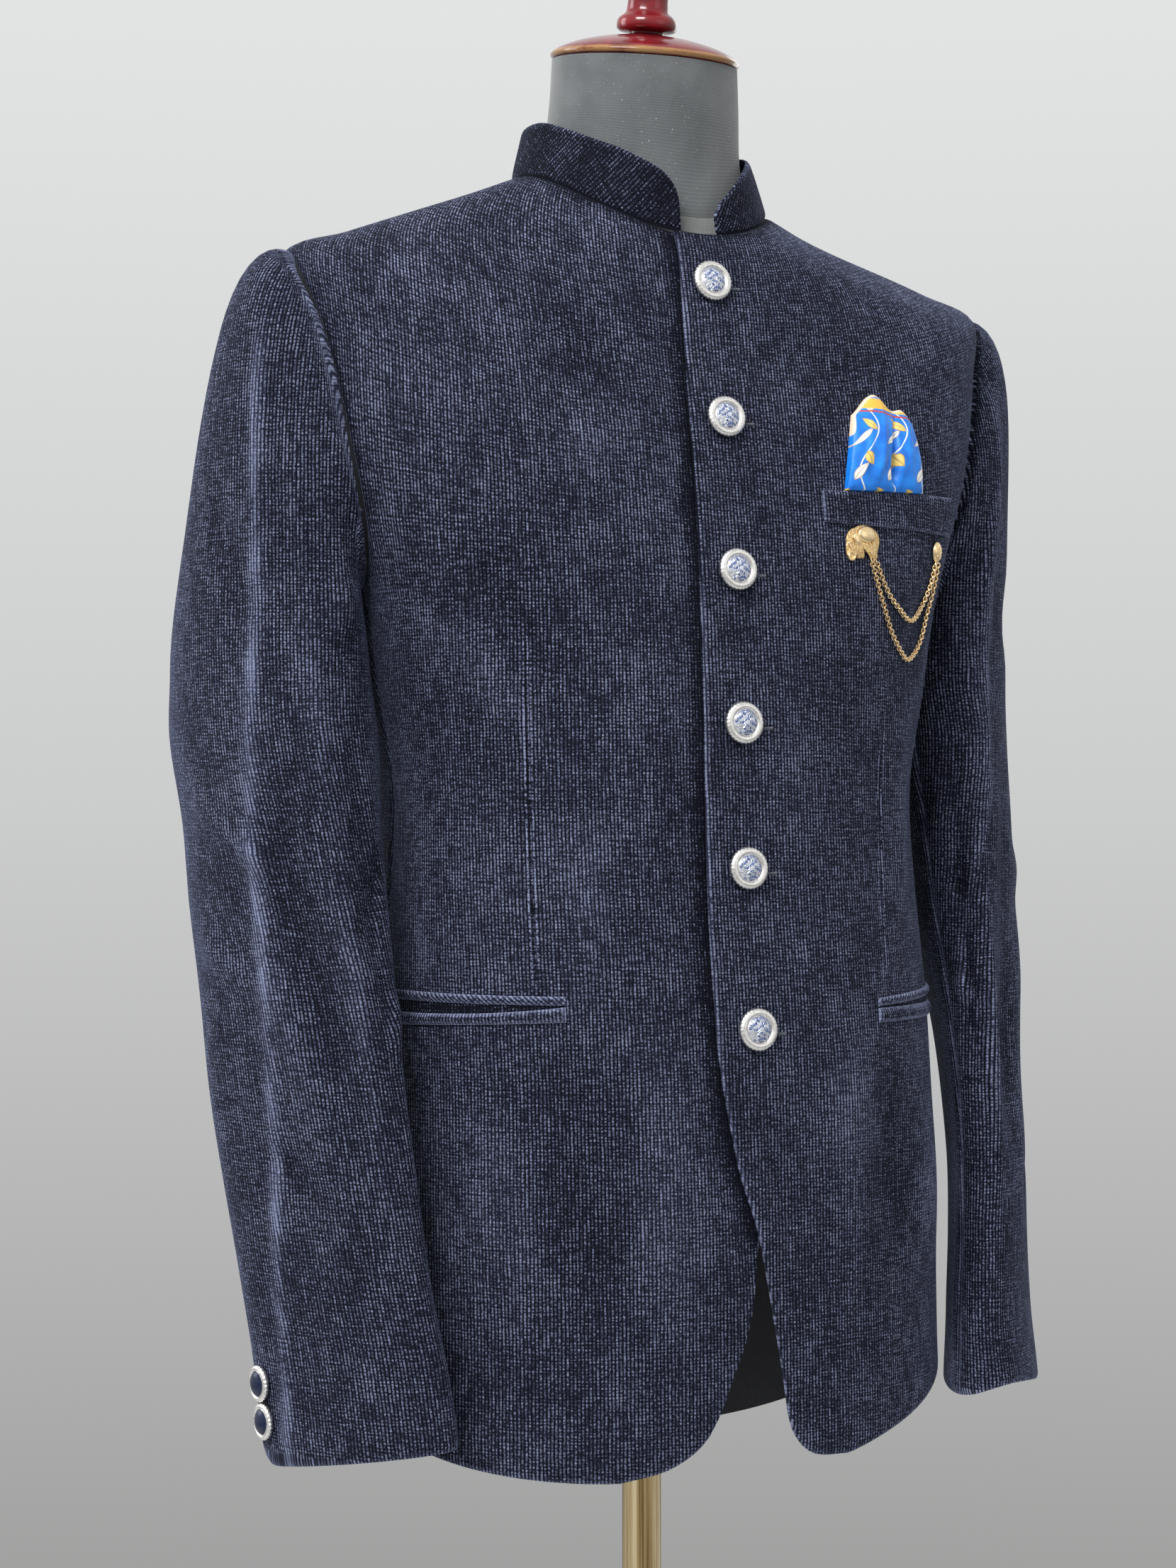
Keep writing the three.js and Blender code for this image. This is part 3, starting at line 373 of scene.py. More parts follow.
def silkMaterial():
    # bright blue with white and yellow leaves on thin stems, and a yellow band at the folded top
    material, tree, shader = newMaterial(
        "square_silk", Roughness=0.4, Sheen_Weight=0.08, Sheen_Roughness=0.3, Specular_IOR_Level=0.45)
    u, v = uvParts(tree, "grain")
    ground = noiseOf(tree, vectorOf(tree, u / 9.0, v / 9.0), detail=3.0)
    colour = colourBy(tree, ground, (0.3, (0.004, 0.14, 0.64)), (0.7, (0.012, 0.28, 0.93)))
    bent = u + (v / 8.0).sine() * 6.5
    stem = ((bent / silkCell["wide"]).math("FRACT") - 0.5).size()
    stems = (stem * -1).between(-0.028, -0.014)
    colour = mixColour(tree, stems, colour, (0.78, 0.8, 0.8))
    for look in silkLeaves:
        c, s = math.cos(look["lean"]), math.sin(look["lean"])
        risen, shifted = (v + look["shift"]) / silkCell["tall"], look["shift"] * 0.8
        across = (bent + risen.math("FLOOR") * 9.5 + shifted) / silkCell["wide"]
        cellU = (across.math("FRACT") - 0.5) * silkCell["wide"]
        cellV = (risen.math("FRACT") - 0.5) * silkCell["tall"]
        along = cellU * c + cellV * s
        across = (cellV * c - cellU * s).size()
        belly = (along / look["length"]).power(2.0) * -look["wide"] + look["wide"]
        leaf = (across - belly) * -1
        colour = mixColour(tree, leaf.between(-0.15, 0.1), colour, (0.5, 0.26, 0.05))
        colour = mixColour(tree, leaf.between(0.2, 0.45), colour, look["tint"])
        vein = (across * -1).between(-0.35, -0.12) * leaf.between(0.3, 0.6)
        colour = mixColour(tree, vein * 0.7, colour, (0.4, 0.24, 0.08))
    slant = v + u * 0.12
    band = slant.between(silkBand["low"], silkBand["low"] + 0.5)
    band = band * (slant * -1).between(-silkBand["high"], 0.5 - silkBand["high"])
    colour = mixColour(tree, band, colour, (0.83, 0.5, 0.07))
    red = (slant - silkBand["line"]).size() * -1
    colour = mixColour(tree, red.between(-0.7, -0.35), colour, (0.55, 0.05, 0.03))
    rim = edgeOf(tree) * v.between(30, 40)
    colour = mixColour(tree, rim.between(0.25, 0.45), colour, (0.82, 0.66, 0.5))
    plug(tree, shader.inputs["Base Color"], colour)
    weave = (u * 14.0).sine() * (v * 14.0).sine()
    bumpFrom(tree, shader, weave * 0.3 + ground * 0.7, 0.00012, 0.35)
    return material


def ribMaterial(name, dark, light, pitch):
    # a fine cross-ribbed knit with stray light specks
    material, tree, shader = newMaterial(name, Roughness=0.9, Sheen_Weight=0.35, Sheen_Roughness=0.5)
    u, v = uvParts(tree, "grain")
    rib = (v + noiseOf(tree, vectorOf(tree, u / 30.0, v / 9.0)) * 0.3).waves(pitch)
    stitches = u.waves(1.3) * 0.4
    cloud = noiseOf(tree, vectorOf(tree, u / 25.0, v / 25.0), detail=4.0)
    specks = noiseOf(tree, vectorOf(tree, u / 1.1, v / 1.1), detail=1.0).between(0.7, 0.76)
    tone = rib * 0.12 + stitches * 0.3 + cloud * 0.62
    base = colourBy(tree, tone, (0.15, dark), (0.85, light))
    plug(tree, shader.inputs["Base Color"], mixColour(tree, specks * 0.6, base, (0.42, 0.43, 0.44)))
    bumpFrom(tree, shader, rib + stitches, 0.00014, 0.3)
    return material


def lacquerMaterial():
    # deep red lacquer over turned wood, rubbed to a brown edge under the rim
    material, tree, shader = newMaterial(
        "cap_lacquer", Roughness=0.22, Specular_IOR_Level=0.3, Coat_Weight=0.45, Coat_Roughness=0.04)
    z = axesOf(tree, placeOf(tree))[2]
    rings = noiseOf(tree, vectorOf(tree, 0.0, 0.0, z * 900.0), detail=2.0)
    streaks = noiseOf(tree, placeOf(tree), 60.0, 4.0, 0.65)
    colour = colourBy(tree, streaks * 0.6 + rings * 0.4, (0.3, (0.05, 0.002, 0.004)), (0.7, (0.26, 0.008, 0.014)))
    wearAndShine = edgeOf(tree)
    rubbed = (wearAndShine * 0.8 + streaks * 0.5 - 0.35).between(0.35, 0.6)
    plug(tree, shader.inputs["Base Color"], mixColour(tree, rubbed, colour, (0.3, 0.16, 0.06)))
    bumpFrom(tree, shader, streaks, 0.0002, 0.15)
    return material


def threadMaterial():
    material, tree, shader = newMaterial("buttonhole_thread", Roughness=0.7, Sheen_Weight=0.3)
    u, v = uvParts(tree, "grain")
    turns = (u + v * 0.4).waves(0.55)
    twist = colourBy(tree, turns, (0.1, (0.01, 0.012, 0.022)), (0.9, (0.07, 0.08, 0.13)))
    plug(tree, shader.inputs["Base Color"], twist)
    bumpFrom(tree, shader, turns, 0.0002, 0.8)
    return material


velvet = velvetMaterial("velvet")
lining = liningMaterial()
silver = metalMaterial("button_silver", (0.93, 0.91, 0.88), (0.62, 0.6, 0.57), 0.27)
gold = metalMaterial("brooch_gold", (1.0, 0.8, 0.48), (0.86, 0.58, 0.28), 0.2)
brass = brassMaterial()
thread = threadMaterial()
print("materials made")


# Meshes
def link(name, mesh):
    piece = bpy.data.objects.new(name + "_finished", mesh)
    bpy.context.scene.collection.objects.link(piece)
    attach(piece, "root")
    return piece


def makeMesh(name, points, faces, materials, faceMaterial=None, maps=(), edge=None, sharp=50):
    mesh = bpy.data.meshes.new(name)
    mesh.from_pydata((np.asarray(points) * mm).tolist(), [], [list(map(int, face)) for face in faces])
    for material in materials:
        mesh.materials.append(material)
    if faceMaterial is not None:
        mesh.polygons.foreach_set("material_index", np.asarray(faceMaterial, dtype=np.int32))
    corner = np.zeros(len(mesh.loops), dtype=np.int32)
    mesh.loops.foreach_get("vertex_index", corner)
    for key, values in dict(maps).items():
        layer = mesh.uv_layers.new(name=key)
        layer.data.foreach_set("uv", np.asarray(values, float)[corner].astype(np.float32).ravel())
    if edge is not None:
        layer = mesh.attributes.new("edge", "FLOAT", "POINT")
        layer.data.foreach_set("value", np.asarray(edge, np.float32).ravel())
    work = bmesh.new()
    work.from_mesh(mesh)
    bmesh.ops.recalc_face_normals(work, faces=work.faces)
    work.to_mesh(mesh)
    work.free()
    mesh.polygons.foreach_set("use_smooth", np.ones(len(mesh.polygons), dtype=bool))
    mesh.set_sharp_from_angle(angle=math.radians(sharp))
    mesh.update()
    return link(name, mesh)


def gridFaces(rows, columns, start=0, around=False, flip=False):
    j, i = np.meshgrid(np.arange(rows - 1), np.arange(columns if around else columns - 1), indexing="ij")
    a = start + j * columns + i
    b = start + j * columns + (i + 1) % columns
    quads = np.stack([a, b, b + columns, a + columns], -1).reshape(-1, 4)
    return quads[:, ::-1] if flip else quads


def closedFaces(rows, sides):
    # a tube of rings with a flat face at each end
    faces = [list(face) for face in gridFaces(rows, sides, around=True)]
    return faces + [list(range(sides))[::-1], [(rows - 1) * sides + i for i in range(sides)]]


def rimOf(rows, columns):
    bottom = list(range(columns - 1))
    right = [j * columns + columns - 1 for j in range(rows - 1)]
    top = [(rows - 1) * columns + i for i in range(columns - 1, 0, -1)]
    left = [j * columns for j in range(rows - 1, 0, -1)]
    return bottom + right + top + left


def makeShell(name, outer, inner, grain, edge, materials):
    # a wall of cloth: its face, its lining and the edge between them
    rows, columns = outer.shape[:2]
    inside = rows * columns
    face = gridFaces(rows, columns)
    back = gridFaces(rows, columns, inside, flip=True)
    rim = rimOf(rows, columns)
    sides = [[b, a, inside + a, inside + b] for a, b in zip(rim, rim[1:] + rim[:1])]
    points = np.concatenate([outer.reshape(-1, 3), inner.reshape(-1, 3)])
    uv = np.concatenate([grain.reshape(-1, 2)] * 2) * mm
    wearAndPaintedLight = np.concatenate([edge.ravel()] * 2)
    kinds = [0] * len(face) + [1] * len(back) + [0] * len(sides)
    return makeMesh(name, points, [*face, *back, *sides], materials, kinds, {"grain": uv}, wearAndPaintedLight)


def edgeDistances(points):
    # how far each point of a grid lies from its nearest edge, along the cloth
    across = np.linalg.norm(np.diff(points, axis=1), axis=-1)
    u = np.concatenate([np.zeros((len(points), 1)), np.cumsum(across, axis=1)], axis=1)
    v = runAlong(points)
    return u, v, np.minimum(np.minimum(u, u[:, -1:] - u), np.minimum(v, v[-1:] - v))


def declareCloth(piece, grain):
    # the cut of one layer, from its own grain lines
    a, b = grain[1:, 1:] - grain[:-1, :-1], grain[1:, :-1] - grain[:-1, 1:]
    area = np.abs(a[..., 0] * b[..., 1] - a[..., 1] * b[..., 0]).sum() / 2 * mm * mm
    span = np.maximum((grain.reshape(-1, 2).max(0) - grain.reshape(-1, 2).min(0)) * mm, 0.0101)
    area = float(np.clip(area, 0.31 * span[0] * span[1], span[0] * span[1]))
    print(piece.name, "cut", np.round(span * 1000), "mm, area", round(area, 4))


cloth = {"wall": 2.4, "seamGap": 0.3, "armholeGap": 0.36, "lapGap": 0.7, "roll": 1.1, "rollWidth": 3.4,
         "patchClear": 0.4}
levels = {"neck": 1545, "tip": 1405, "underarm": 1238, "corner": 862, "lowest": 700}
armMiddle, armReach = (levels["underarm"] + levels["tip"]) / 2, (levels["tip"] - levels["underarm"]) / 2
bodyLevels = np.array([862, 885, 915, 950, 985, 1030, 1077, 1125, 1170, 1208, 1238.0])
formLevels = np.array([872, 884, 935, 985, 1077, 1125, 1180, 1238.0])
neckLevels = np.array([1405, 1422, 1440, 1459, 1478, 1515, 1545.0])
bodyRings = table(
    "at sideZ frontZ backZ half front back midY square",
    (700, 700, 700, 700, 178, 150, 108, 0, 2.4),
    (800, 800, 800, 800, 176, 149, 114, 0, 2.4),
    (900, 900, 900, 900, 174, 146, 117, 0, 2.4),
    (985, 985, 985, 985, 171, 141, 107, 0, 2.4),
    (1070, 1070, 1070, 1070, 163, 131, 94, 0, 2.5),
    (1125, 1125, 1125, 1125, 162, 127, 91, 0, 2.5),
    (1180, 1180, 1180, 1180, 172, 124, 98, 0, 2.55),
    (1230, 1231, 1229, 1230, 180, 120, 108, 0, 2.7),
    (1305, 1318, 1290, 1300, 209, 112, 113, 0, 2.5),
    (1370, 1390, 1339, 1362, 221, 103, 110, 0, 2.4),
    (1405, 1424, 1369, 1398, 226, 97, 105, 1, 2.2),
    (1440, 1437, 1393, 1425, 191, 94, 98, 2, 2.1),
    (1478, 1451, 1413, 1450, 151, 91, 88, 4, 2.05),
    (1515, 1465, 1429, 1470, 111, 90, 76, 6, 2),
    (1545, 1479, 1443, 1487, 77, 88, 64, 9, 2),
)
shoulderRoll = 1.8
slope = {"rise": 7, "from": 1250, "over": 170, "width": 55, "tipShare": 0.45, "front": 80}


def settled(points):
    # the jacket sits a little higher on the wearer's right shoulder
    x, y, z = points[..., 0], points[..., 1], points[..., 2]
    toTip = ease((np.abs(x) - 80) / 150)
    toBack = ease((y + slope["front"]) / slope["front"])
    share = ease((z - slope["from"]) / slope["over"]) * (1 - slope["tipShare"] * toTip) * toBack
    return np.stack([x, y, z - slope["rise"] * np.tanh(x / slope["width"]) * share], -1)


def mirrored(points, side):
    return settled(points * np.array([side, 1, 1]))


def bodyPoint(angle, at):
    angle, at = np.broadcast_arrays(np.asarray(angle, float), np.asarray(at, float))
    ring = {key: readTable(bodyRings, key, at) for key in bodyRings if key != "at"}
    forward = np.cos(angle) > 0
    depth = np.where(forward, ring["front"], ring["back"])
    s, c = np.abs(np.sin(angle)), np.abs(np.cos(angle))
    reach = ((s / ring["half"]) ** ring["square"] + (c / depth) ** ring["square"]) ** (-1 / ring["square"])
    rise = (reach * c / depth) ** shoulderRoll
    x = reach * s * np.sign(np.sin(angle))
    y = ring["midY"] + np.where(forward, -1, 1) * reach * c
    z = blendTo(ring["sideZ"], np.where(forward, ring["frontZ"], ring["backZ"]), rise)
    return np.stack([x, y, z], -1)


def bodyNormal(angle, at):
    around = bodyPoint(angle + 0.01, at) - bodyPoint(angle - 0.01, at)
    up = bodyPoint(angle, at + 1.0) - bodyPoint(angle, at - 1.0)
    return unit(np.cross(around, up))


def offBody(angle, at, out):
    return bodyPoint(angle, at) + bodyNormal(angle, at) * np.asarray(out)[..., None]


def angleAtX(x, at):
    half, depth, square = (readTable(bodyRings, key, at) for key in ("half", "front", "square"))
    y = depth * (1 - np.minimum(np.abs(x) / half, 0.999) ** square) ** (1 / square)
    return np.arctan2(x, y)


def evenAngles(start, end, at, shares):
    # angles at even steps along the cloth, one row for each level
    rows = []
    for a, b, level in zip(start, end, at):
        angles = np.linspace(a, b, 61)
        run = runAlong(bodyPoint(angles, level))
        rows.append(np.interp(np.asarray(shares) * run[-1], run, angles))
    return np.array(rows)


def levelOnFront(x, z):
    shape = np.broadcast(x, z).shape
    low, high = np.full(shape, float(levels["lowest"])), np.full(shape, float(levels["neck"]))
    for _ in range(32):
        middle = (low + high) / 2
        under = bodyPoint(angleAtX(x, middle), middle)[..., 2] < z
        low, high = np.where(under, middle, low), np.where(under, high, middle)
    return (low + high) / 2


def placeAt(x, z):
    at = levelOnFront(x, z)
    return angleAtX(x, at), at


# Soft creases: from one place to another, how far they bow, how wide and how high they are
def creaseHeight(creases, a, b):
    total = np.zeros(np.broadcast(a, b).shape)
    for a0, b0, a1, b1, bow, width, height in creases:
        da, db = a1 - a0, b1 - b0
        length = math.hypot(da, db)
        t = ((a - a0) * da + (b - b0) * db) / length**2
        inside = np.clip(t, 0, 1)
        across = ((a - a0) * db - (b - b0) * da) / length - bow * np.sin(math.pi * inside)
        spread = width * (1 + 0.28 * np.sin(5.3 * inside + b0))
        fade = ease(t / 0.3) * ease((1 - t) / 0.4)
        uneven = 1 + 0.3 * np.sin(7.1 * inside + a0)
        total = total + height * uneven * fade * np.exp(-((across / spread) ** 2))
    return total


def softWaves(a, b, seed, size, height):
    draw = np.random.default_rng(seed)
    total = np.zeros(np.broadcast(a, b).shape)
    for _ in range(7):
        turn, phase, stretch = draw.uniform(0, math.pi), draw.uniform(0, 6.28), draw.uniform(0.7, 1.6)
        along = a * math.cos(turn) + b * 0.6 * math.sin(turn)
        total = total + np.sin(along * 6.28 / (size * stretch) + phase)
    return total * height / 3


frontCreases = [
    # x, z, x, z, bow, width, height; the wearer's left is +x
    (-150, 1262, -96, 1180, 4, 10, -2.4),
    (-160, 1225, -112, 1140, 5, 9, 2.0),
    (-122, 1215, -120, 1012, 0, 4, -1.4),
    (-88, 1120, -96, 960, 3, 16, 1.7),
    (-60, 1010, -52, 800, 4, 18, 2.4),
    (-105, 985, -100, 800, -4, 20, -2.2),
    (-140, 960, -128, 800, 3, 15, 2.2),
    (-24, 1290, -34, 1120, 3, 14, 1.4),
    (-52, 1395, -110, 1330, 4, 14, -1.5),
    (-40, 1330, -128, 1290, 5, 12, 1.5),
    (101, 1160, 93, 1012, 0, 4, -1.4),
    (150, 1255, 112, 1160, -4, 10, -2.2),
    (128, 1200, 120, 1030, 2, 9, 2.1),
    (62, 1010, 58, 810, -3, 17, 2.4),
    (98, 985, 100, 830, 3, 16, -2.4),
    (136, 960, 132, 820, -2, 14, 2.2),
    (40, 1385, 96, 1345, -4, 13, -1.4),
    (24, 1230, 30, 1060, -2, 15, 1.2),
    (-18, 1222, -17, 1172, 0, 9, 1.8),
]
backCreases = [
    (-40, 1330, -150, 1255, 5, 13, 2.1),
    (-60, 1210, -160, 1160, 4, 12, -2.1),
    (-48, 1120, -140, 1090, 3, 14, 2.4),
    (-80, 1010, -70, 790, 4, 18, 2.7),
    (-125, 990, -120, 800, -4, 17, -2.6),
    (40, 1330, 150, 1262, -5, 13, 2.1),
    (60, 1205, 160, 1150, -4, 12, -2.2),
    (52, 1112, 140, 1085, -3, 14, 2.4),
    (74, 1015, 72, 780, -4, 18, 2.7),
    (122, 995, 118, 810, 4, 17, -2.4),
]


def frontRise(x, z):
    return creaseHeight(frontCreases, x, z) + softWaves(x, z, 5, 120, 0.45)


def backRise(x, z):
    return creaseHeight(backCreases, x, z) + softWaves(x, z, 9, 130, 0.5)


leftEdge = table("at x", (700, 24), (760, 18), (784, 16), (812, 11), (847, 4), (862, 1.5), (880, -3), (911, -13),
                 (985, -24), (1158, -23), (1329, -22), (1480, -18), (1545, -18))
rightEdge = table("at x", (700, 90), (862, 0.5), (880, -3), (911, -10), (985, -20), (1480, -20), (1545, -18))
leftCorner = table("i x z", (0, 1.5, 862), (1, 8, 826), (2, 14, 792), (3, 19, 764), (4, 33, 748), (5, 58, 745))
rightCorner = table("i x z", (0, 0.5, 862), (1, 7, 824), (2, 18, 794), (3, 33, 763), (4, 55, 747), (5, 84, 740))
hemBack = 714
hems = {1: {"side": 800, "frontPower": 1.1, "backPower": 4.5}, -1: {"side": 764, "frontPower": 2, "backPower": 3}}
armholeCut = {"front": 10.4, "back": 10.8, "lean": 0.33}
roundSleeve = 80


def halfGap(angle, at):
    step = np.linalg.norm(bodyPoint(angle + 0.005, at) - bodyPoint(angle - 0.005, at), axis=-1) / 0.01
    return cloth["seamGap"] / 2 / step


def armLevels():
    return armMiddle - armReach * np.cos(fullTurn(roundSleeve)[:roundSleeve // 2 + 1])


def outerAngle(at, isFront):
    # the side seam, armhole or shoulder seam at a level
    at = np.asarray(at, float)
    t = (at - armMiddle) / armReach
    away = np.sqrt(np.maximum(0, 1 - t**2)) * (1 - armholeCut["lean"] * t)
    cut = np.maximum(np.radians(armholeCut["front" if isFront else "back"]) * away, halfGap(quarterTurn, at))
    return quarterTurn - cut if isFront else quarterTurn + cut


def panelLevels():
    below = finer(bodyLevels, 3)[:-1]
    above = finer(neckLevels, 3)[1:]
    return np.concatenate([below, armLevels(), above[:-1], [1541.5, 1543.8, 1545]])


hemShares = np.array([0, 0.006, 0.014, 0.028, 0.05, 0.09, 0.15, 0.22, 0.31, 0.4, 0.5, 0.6, 0.7, 0.8, 0.9])


def frontPlaces(side):
    edge, corner = (leftEdge, leftCorner) if side > 0 else (rightEdge, rightCorner)
    at = panelLevels()
    edgeX = readTable(edge, "x", at)
    lapX = np.maximum(-readTable(leftEdge, "x", at) + 4, edgeX + 4)
    start = angleAtX(lapX + 22, at)
    near = np.array([0, 0.05, 0.14, 0.28, 0.5, 0.8, 1.1, 1.4, 1.7, 2])
    far = np.concatenate([np.arange(3, 10.8, 0.22), [10.86, 10.93, 10.975, 11]])
    lapped = angleAtX(edgeX[:, None] + (lapX - edgeX)[:, None] * near / 2, at[:, None])
    between = blendTo(lapped[:, -1:], start[:, None], np.array([0.33, 0.66]))
    wide = evenAngles(start, outerAngle(at, True), at, (far - 3) / 8)
    angle = np.concatenate([lapped, between, wide], axis=1)
    column = np.concatenate([near, [2.33, 2.66], far])
    level = np.repeat(at[:, None], len(column), axis=1)
    inCorner = np.minimum(column, 5)
    cornerX, cornerZ = (readTable(corner, key, inCorner, "i") for key in "xz")
    t = np.clip((column - 5) / 6, 0, 1)
    hemAt = blendTo(corner["z"][-1], hems[side]["side"], t ** hems[side]["frontPower"])
    hemStart = angleAtX(corner["x"][-1], corner["z"][-1])
    bottomAt = np.where(column <= 5, cornerZ, hemAt)
    hemAngle = blendTo(hemStart, outerAngle(hemAt, True), t)
    bottomAngle = np.where(column <= 5, angleAtX(cornerX, cornerZ), hemAngle)
    share = hemShares[:, None]
    lowAngle = blendTo(bottomAngle, angle[:1], share)
    lowLevel = blendTo(bottomAt, level[:1], share)
    return np.concatenate([lowAngle, angle]), np.concatenate([lowLevel, level])


def backPlaces(side):
    at = panelLevels()
    first, last = [0, 0.005, 0.014, 0.03, 0.06], [0.94, 0.97, 0.986, 0.995, 1]
    shares = np.concatenate([first, np.arange(0.1, 0.91, 0.033), last])
    angle = evenAngles(outerAngle(at, False), math.pi - halfGap(math.pi, at), at, shares)
    level = np.repeat(at[:, None], len(shares), axis=1)
    toSeam = 2 - angle[0] / quarterTurn
    bottom = blendTo(hemBack, hems[side]["side"], toSeam ** hems[side]["backPower"])
    share = hemShares[:, None]
    lowLevel = blendTo(bottom, level[:1], share)
    return np.concatenate([np.repeat(angle[:1], len(share), axis=0), angle]), np.concatenate([lowLevel, level])


def grainAt(angle, at, fromAngle=0.0):
    # straight grain: the distance round the body from a line down its middle, and the distance up that line
    turns = fromAngle + (angle - fromAngle)[..., None] * np.linspace(0, 1, 25)
    ring = bodyPoint(turns, at[..., None])
    across = np.linalg.norm(np.diff(ring, axis=-2), axis=-1).sum(-1) * np.sign(angle - fromAngle)
    line = np.linspace(levels["lowest"], levels["neck"], 200)
    up = runAlong(bodyPoint(abs(fromAngle - 0.6), line))
    return np.stack([across, np.interp(at, line, up) + levels["lowest"]], -1)


def lapSink(x, at):
    edge = -readTable(leftEdge, "x", at)
    over = (cloth["wall"] + cloth["lapGap"]) * (1 - ease((x - edge - 3) / 22))
    return over * ease((at - levels["corner"] + 40) / 40)


def rolled(distance):
    return cloth["roll"] * np.clip(1 - distance / cloth["rollWidth"], 0, 1) ** 2


# paler colour within 2.6 mm of a cloth edge
def paleNearEdge(distance):
    return np.clip(1 - distance / 2.6, 0, 1)


def seamShadeOf(distance, wide):
    # painted shade: the colour is darkened in the ditch of a seam, where shade falls
    return -2.4 * np.clip(1 - np.abs(distance) / wide, 0, 1)


seamShadeWidths = {"armhole": 5.5, "neck": 5, "lap": 6.5}


def addPanel(name, places, side, rise, material, sunk=False, isFront=True):
    angle, at = places
    plain = bodyPoint(angle, at)
    base = mirrored(plain, side)
    u, v, edge = edgeDistances(base)
    sink = lapSink(plain[..., 0], at) if sunk else 0
    height = rise(base[..., 0], base[..., 2]) * ease(edge / 25)
    outer = mirrored(offBody(angle, at, height - rolled(edge) - sink), side)
    inner = mirrored(offBody(angle, at, height - cloth["wall"] - sink), side)
    grain = grainAt(angle, at, 0.0 if isFront else math.pi) * np.array([side, 1])
    inArmhole = ease((at - levels["underarm"] + 4) / 12) * ease((levels["tip"] + 2 - at) / 8)
    # paler edges except in the armhole, and a painted highlight on raised creases
    wearAndPaintedLight = paleNearEdge(edge) * (1 - inArmhole) + 0.14 * height
    toArmhole = u[:, -1:] - u if isFront else u
    # painted shade in the ditches of the armhole and the neck
    wearAndPaintedLight = wearAndPaintedLight + seamShadeOf(toArmhole, seamShadeWidths["armhole"]) * inArmhole + seamShadeOf(levels["neck"] - at, seamShadeWidths["neck"])
    # painted shadow of the left front's lap edge on the right front
    if sunk:
        toLap = np.maximum(readTable(leftEdge, "x", at) - base[..., 0], 0)
        wearAndPaintedLight = np.where(edge > 3, wearAndPaintedLight + seamShadeOf(toLap, seamShadeWidths["lap"]), wearAndPaintedLight)
    piece = makeShell(name, outer, inner, grain, wearAndPaintedLight, [material, lining])
    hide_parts(name)
    declareCloth(piece, grain)
    return piece


darts = {
    "right": {"u": -126.0, "low": 1008.0, "high": 1208.0, "lean": -0.004},
    "left": {"u": 98.0, "low": 1008.0, "high": 1160.0, "lean": 0.05},
}
velvetRight = velvetMaterial("velvet_right_front", darts["right"])
velvetLeft = velvetMaterial("velvet_left_front", darts["left"])
# darker copies of the velvet as painted shade: a little darker for the collar, near black for the pocket mouths and
# the seam tapes
velvetCollar = velvetMaterial("velvet_collar", paintedShade=-0.24)
velvetPaintedShade = velvetMaterial("velvet_painted_shade", paintedShade=-0.4)
addPanel("front_left", frontPlaces(1), 1, frontRise, velvetLeft)
addPanel("front_right", frontPlaces(-1), -1, frontRise, velvetRight, sunk=True)
addPanel("back_left", backPlaces(1), 1, backRise, velvet, isFront=False)
addPanel("back_right", backPlaces(-1), -1, backRise, velvet, isFront=False)
print("body panels made")


sleeveRings = table(
    "z x y long thick turn",
    (740, 206, -68, 62, 27.5, 36),
    (800, 210, -57, 62, 26, 36),
    (850, 216, -47, 62, 24.5, 35),
    (900, 221, -37.5, 64, 24, 34),
    (950, 224, -25.5, 66, 25, 33),
    (1000, 225, -13, 68, 29, 30),
    (1050, 225, 2, 70, 35, 26),
    (1100, 225, 15, 71.5, 40, 22),
    (1150, 226, 28, 76.5, 44, 20),
    (1190, 227, 30, 72, 43.5, 20),
    (1250, 227, 30, 71, 44, 20),
)
sleeve = {"bicepZ": 1190, "cuffBack": 744, "cuffFront": 762, "headRows": 26, "armRows": 84,
          "frontSeam": 12, "backSeam": 60, "ventTurn": 256, "ventWidth": 15, "ventRise": 9,
          "foldRise": 1.9, "foldWidth": 4.5, "lipRise": 1.7, "lipWidth": 6, "flare": 2.0, "flareFrom": 805,
          "flareOver": 55, "tapeHalf": 1.6, "tapeDepth": 1.3}
crown = {"side": 55, "topMore": 38, "spread": 37, "drop": 16, "dropMore": 22.5, "rollOut": 16, "rollUp": 8}
# the right sleeve hangs fuller on the side that faces the body
sleeveFullness = {-1: [(40, 1240, 34, 790, 0, 22, 4.2)], 1: []}
# how strong the painted highlight down each pressed fold is, and the painted light along each armhole seam: a
# highlight on the right sleeve, painted shade on the left
foldHighlight = {-1: 1.0, 1: 0.4}
seamHighlightAndShade = {-1: 1.2, 1: -0.6}
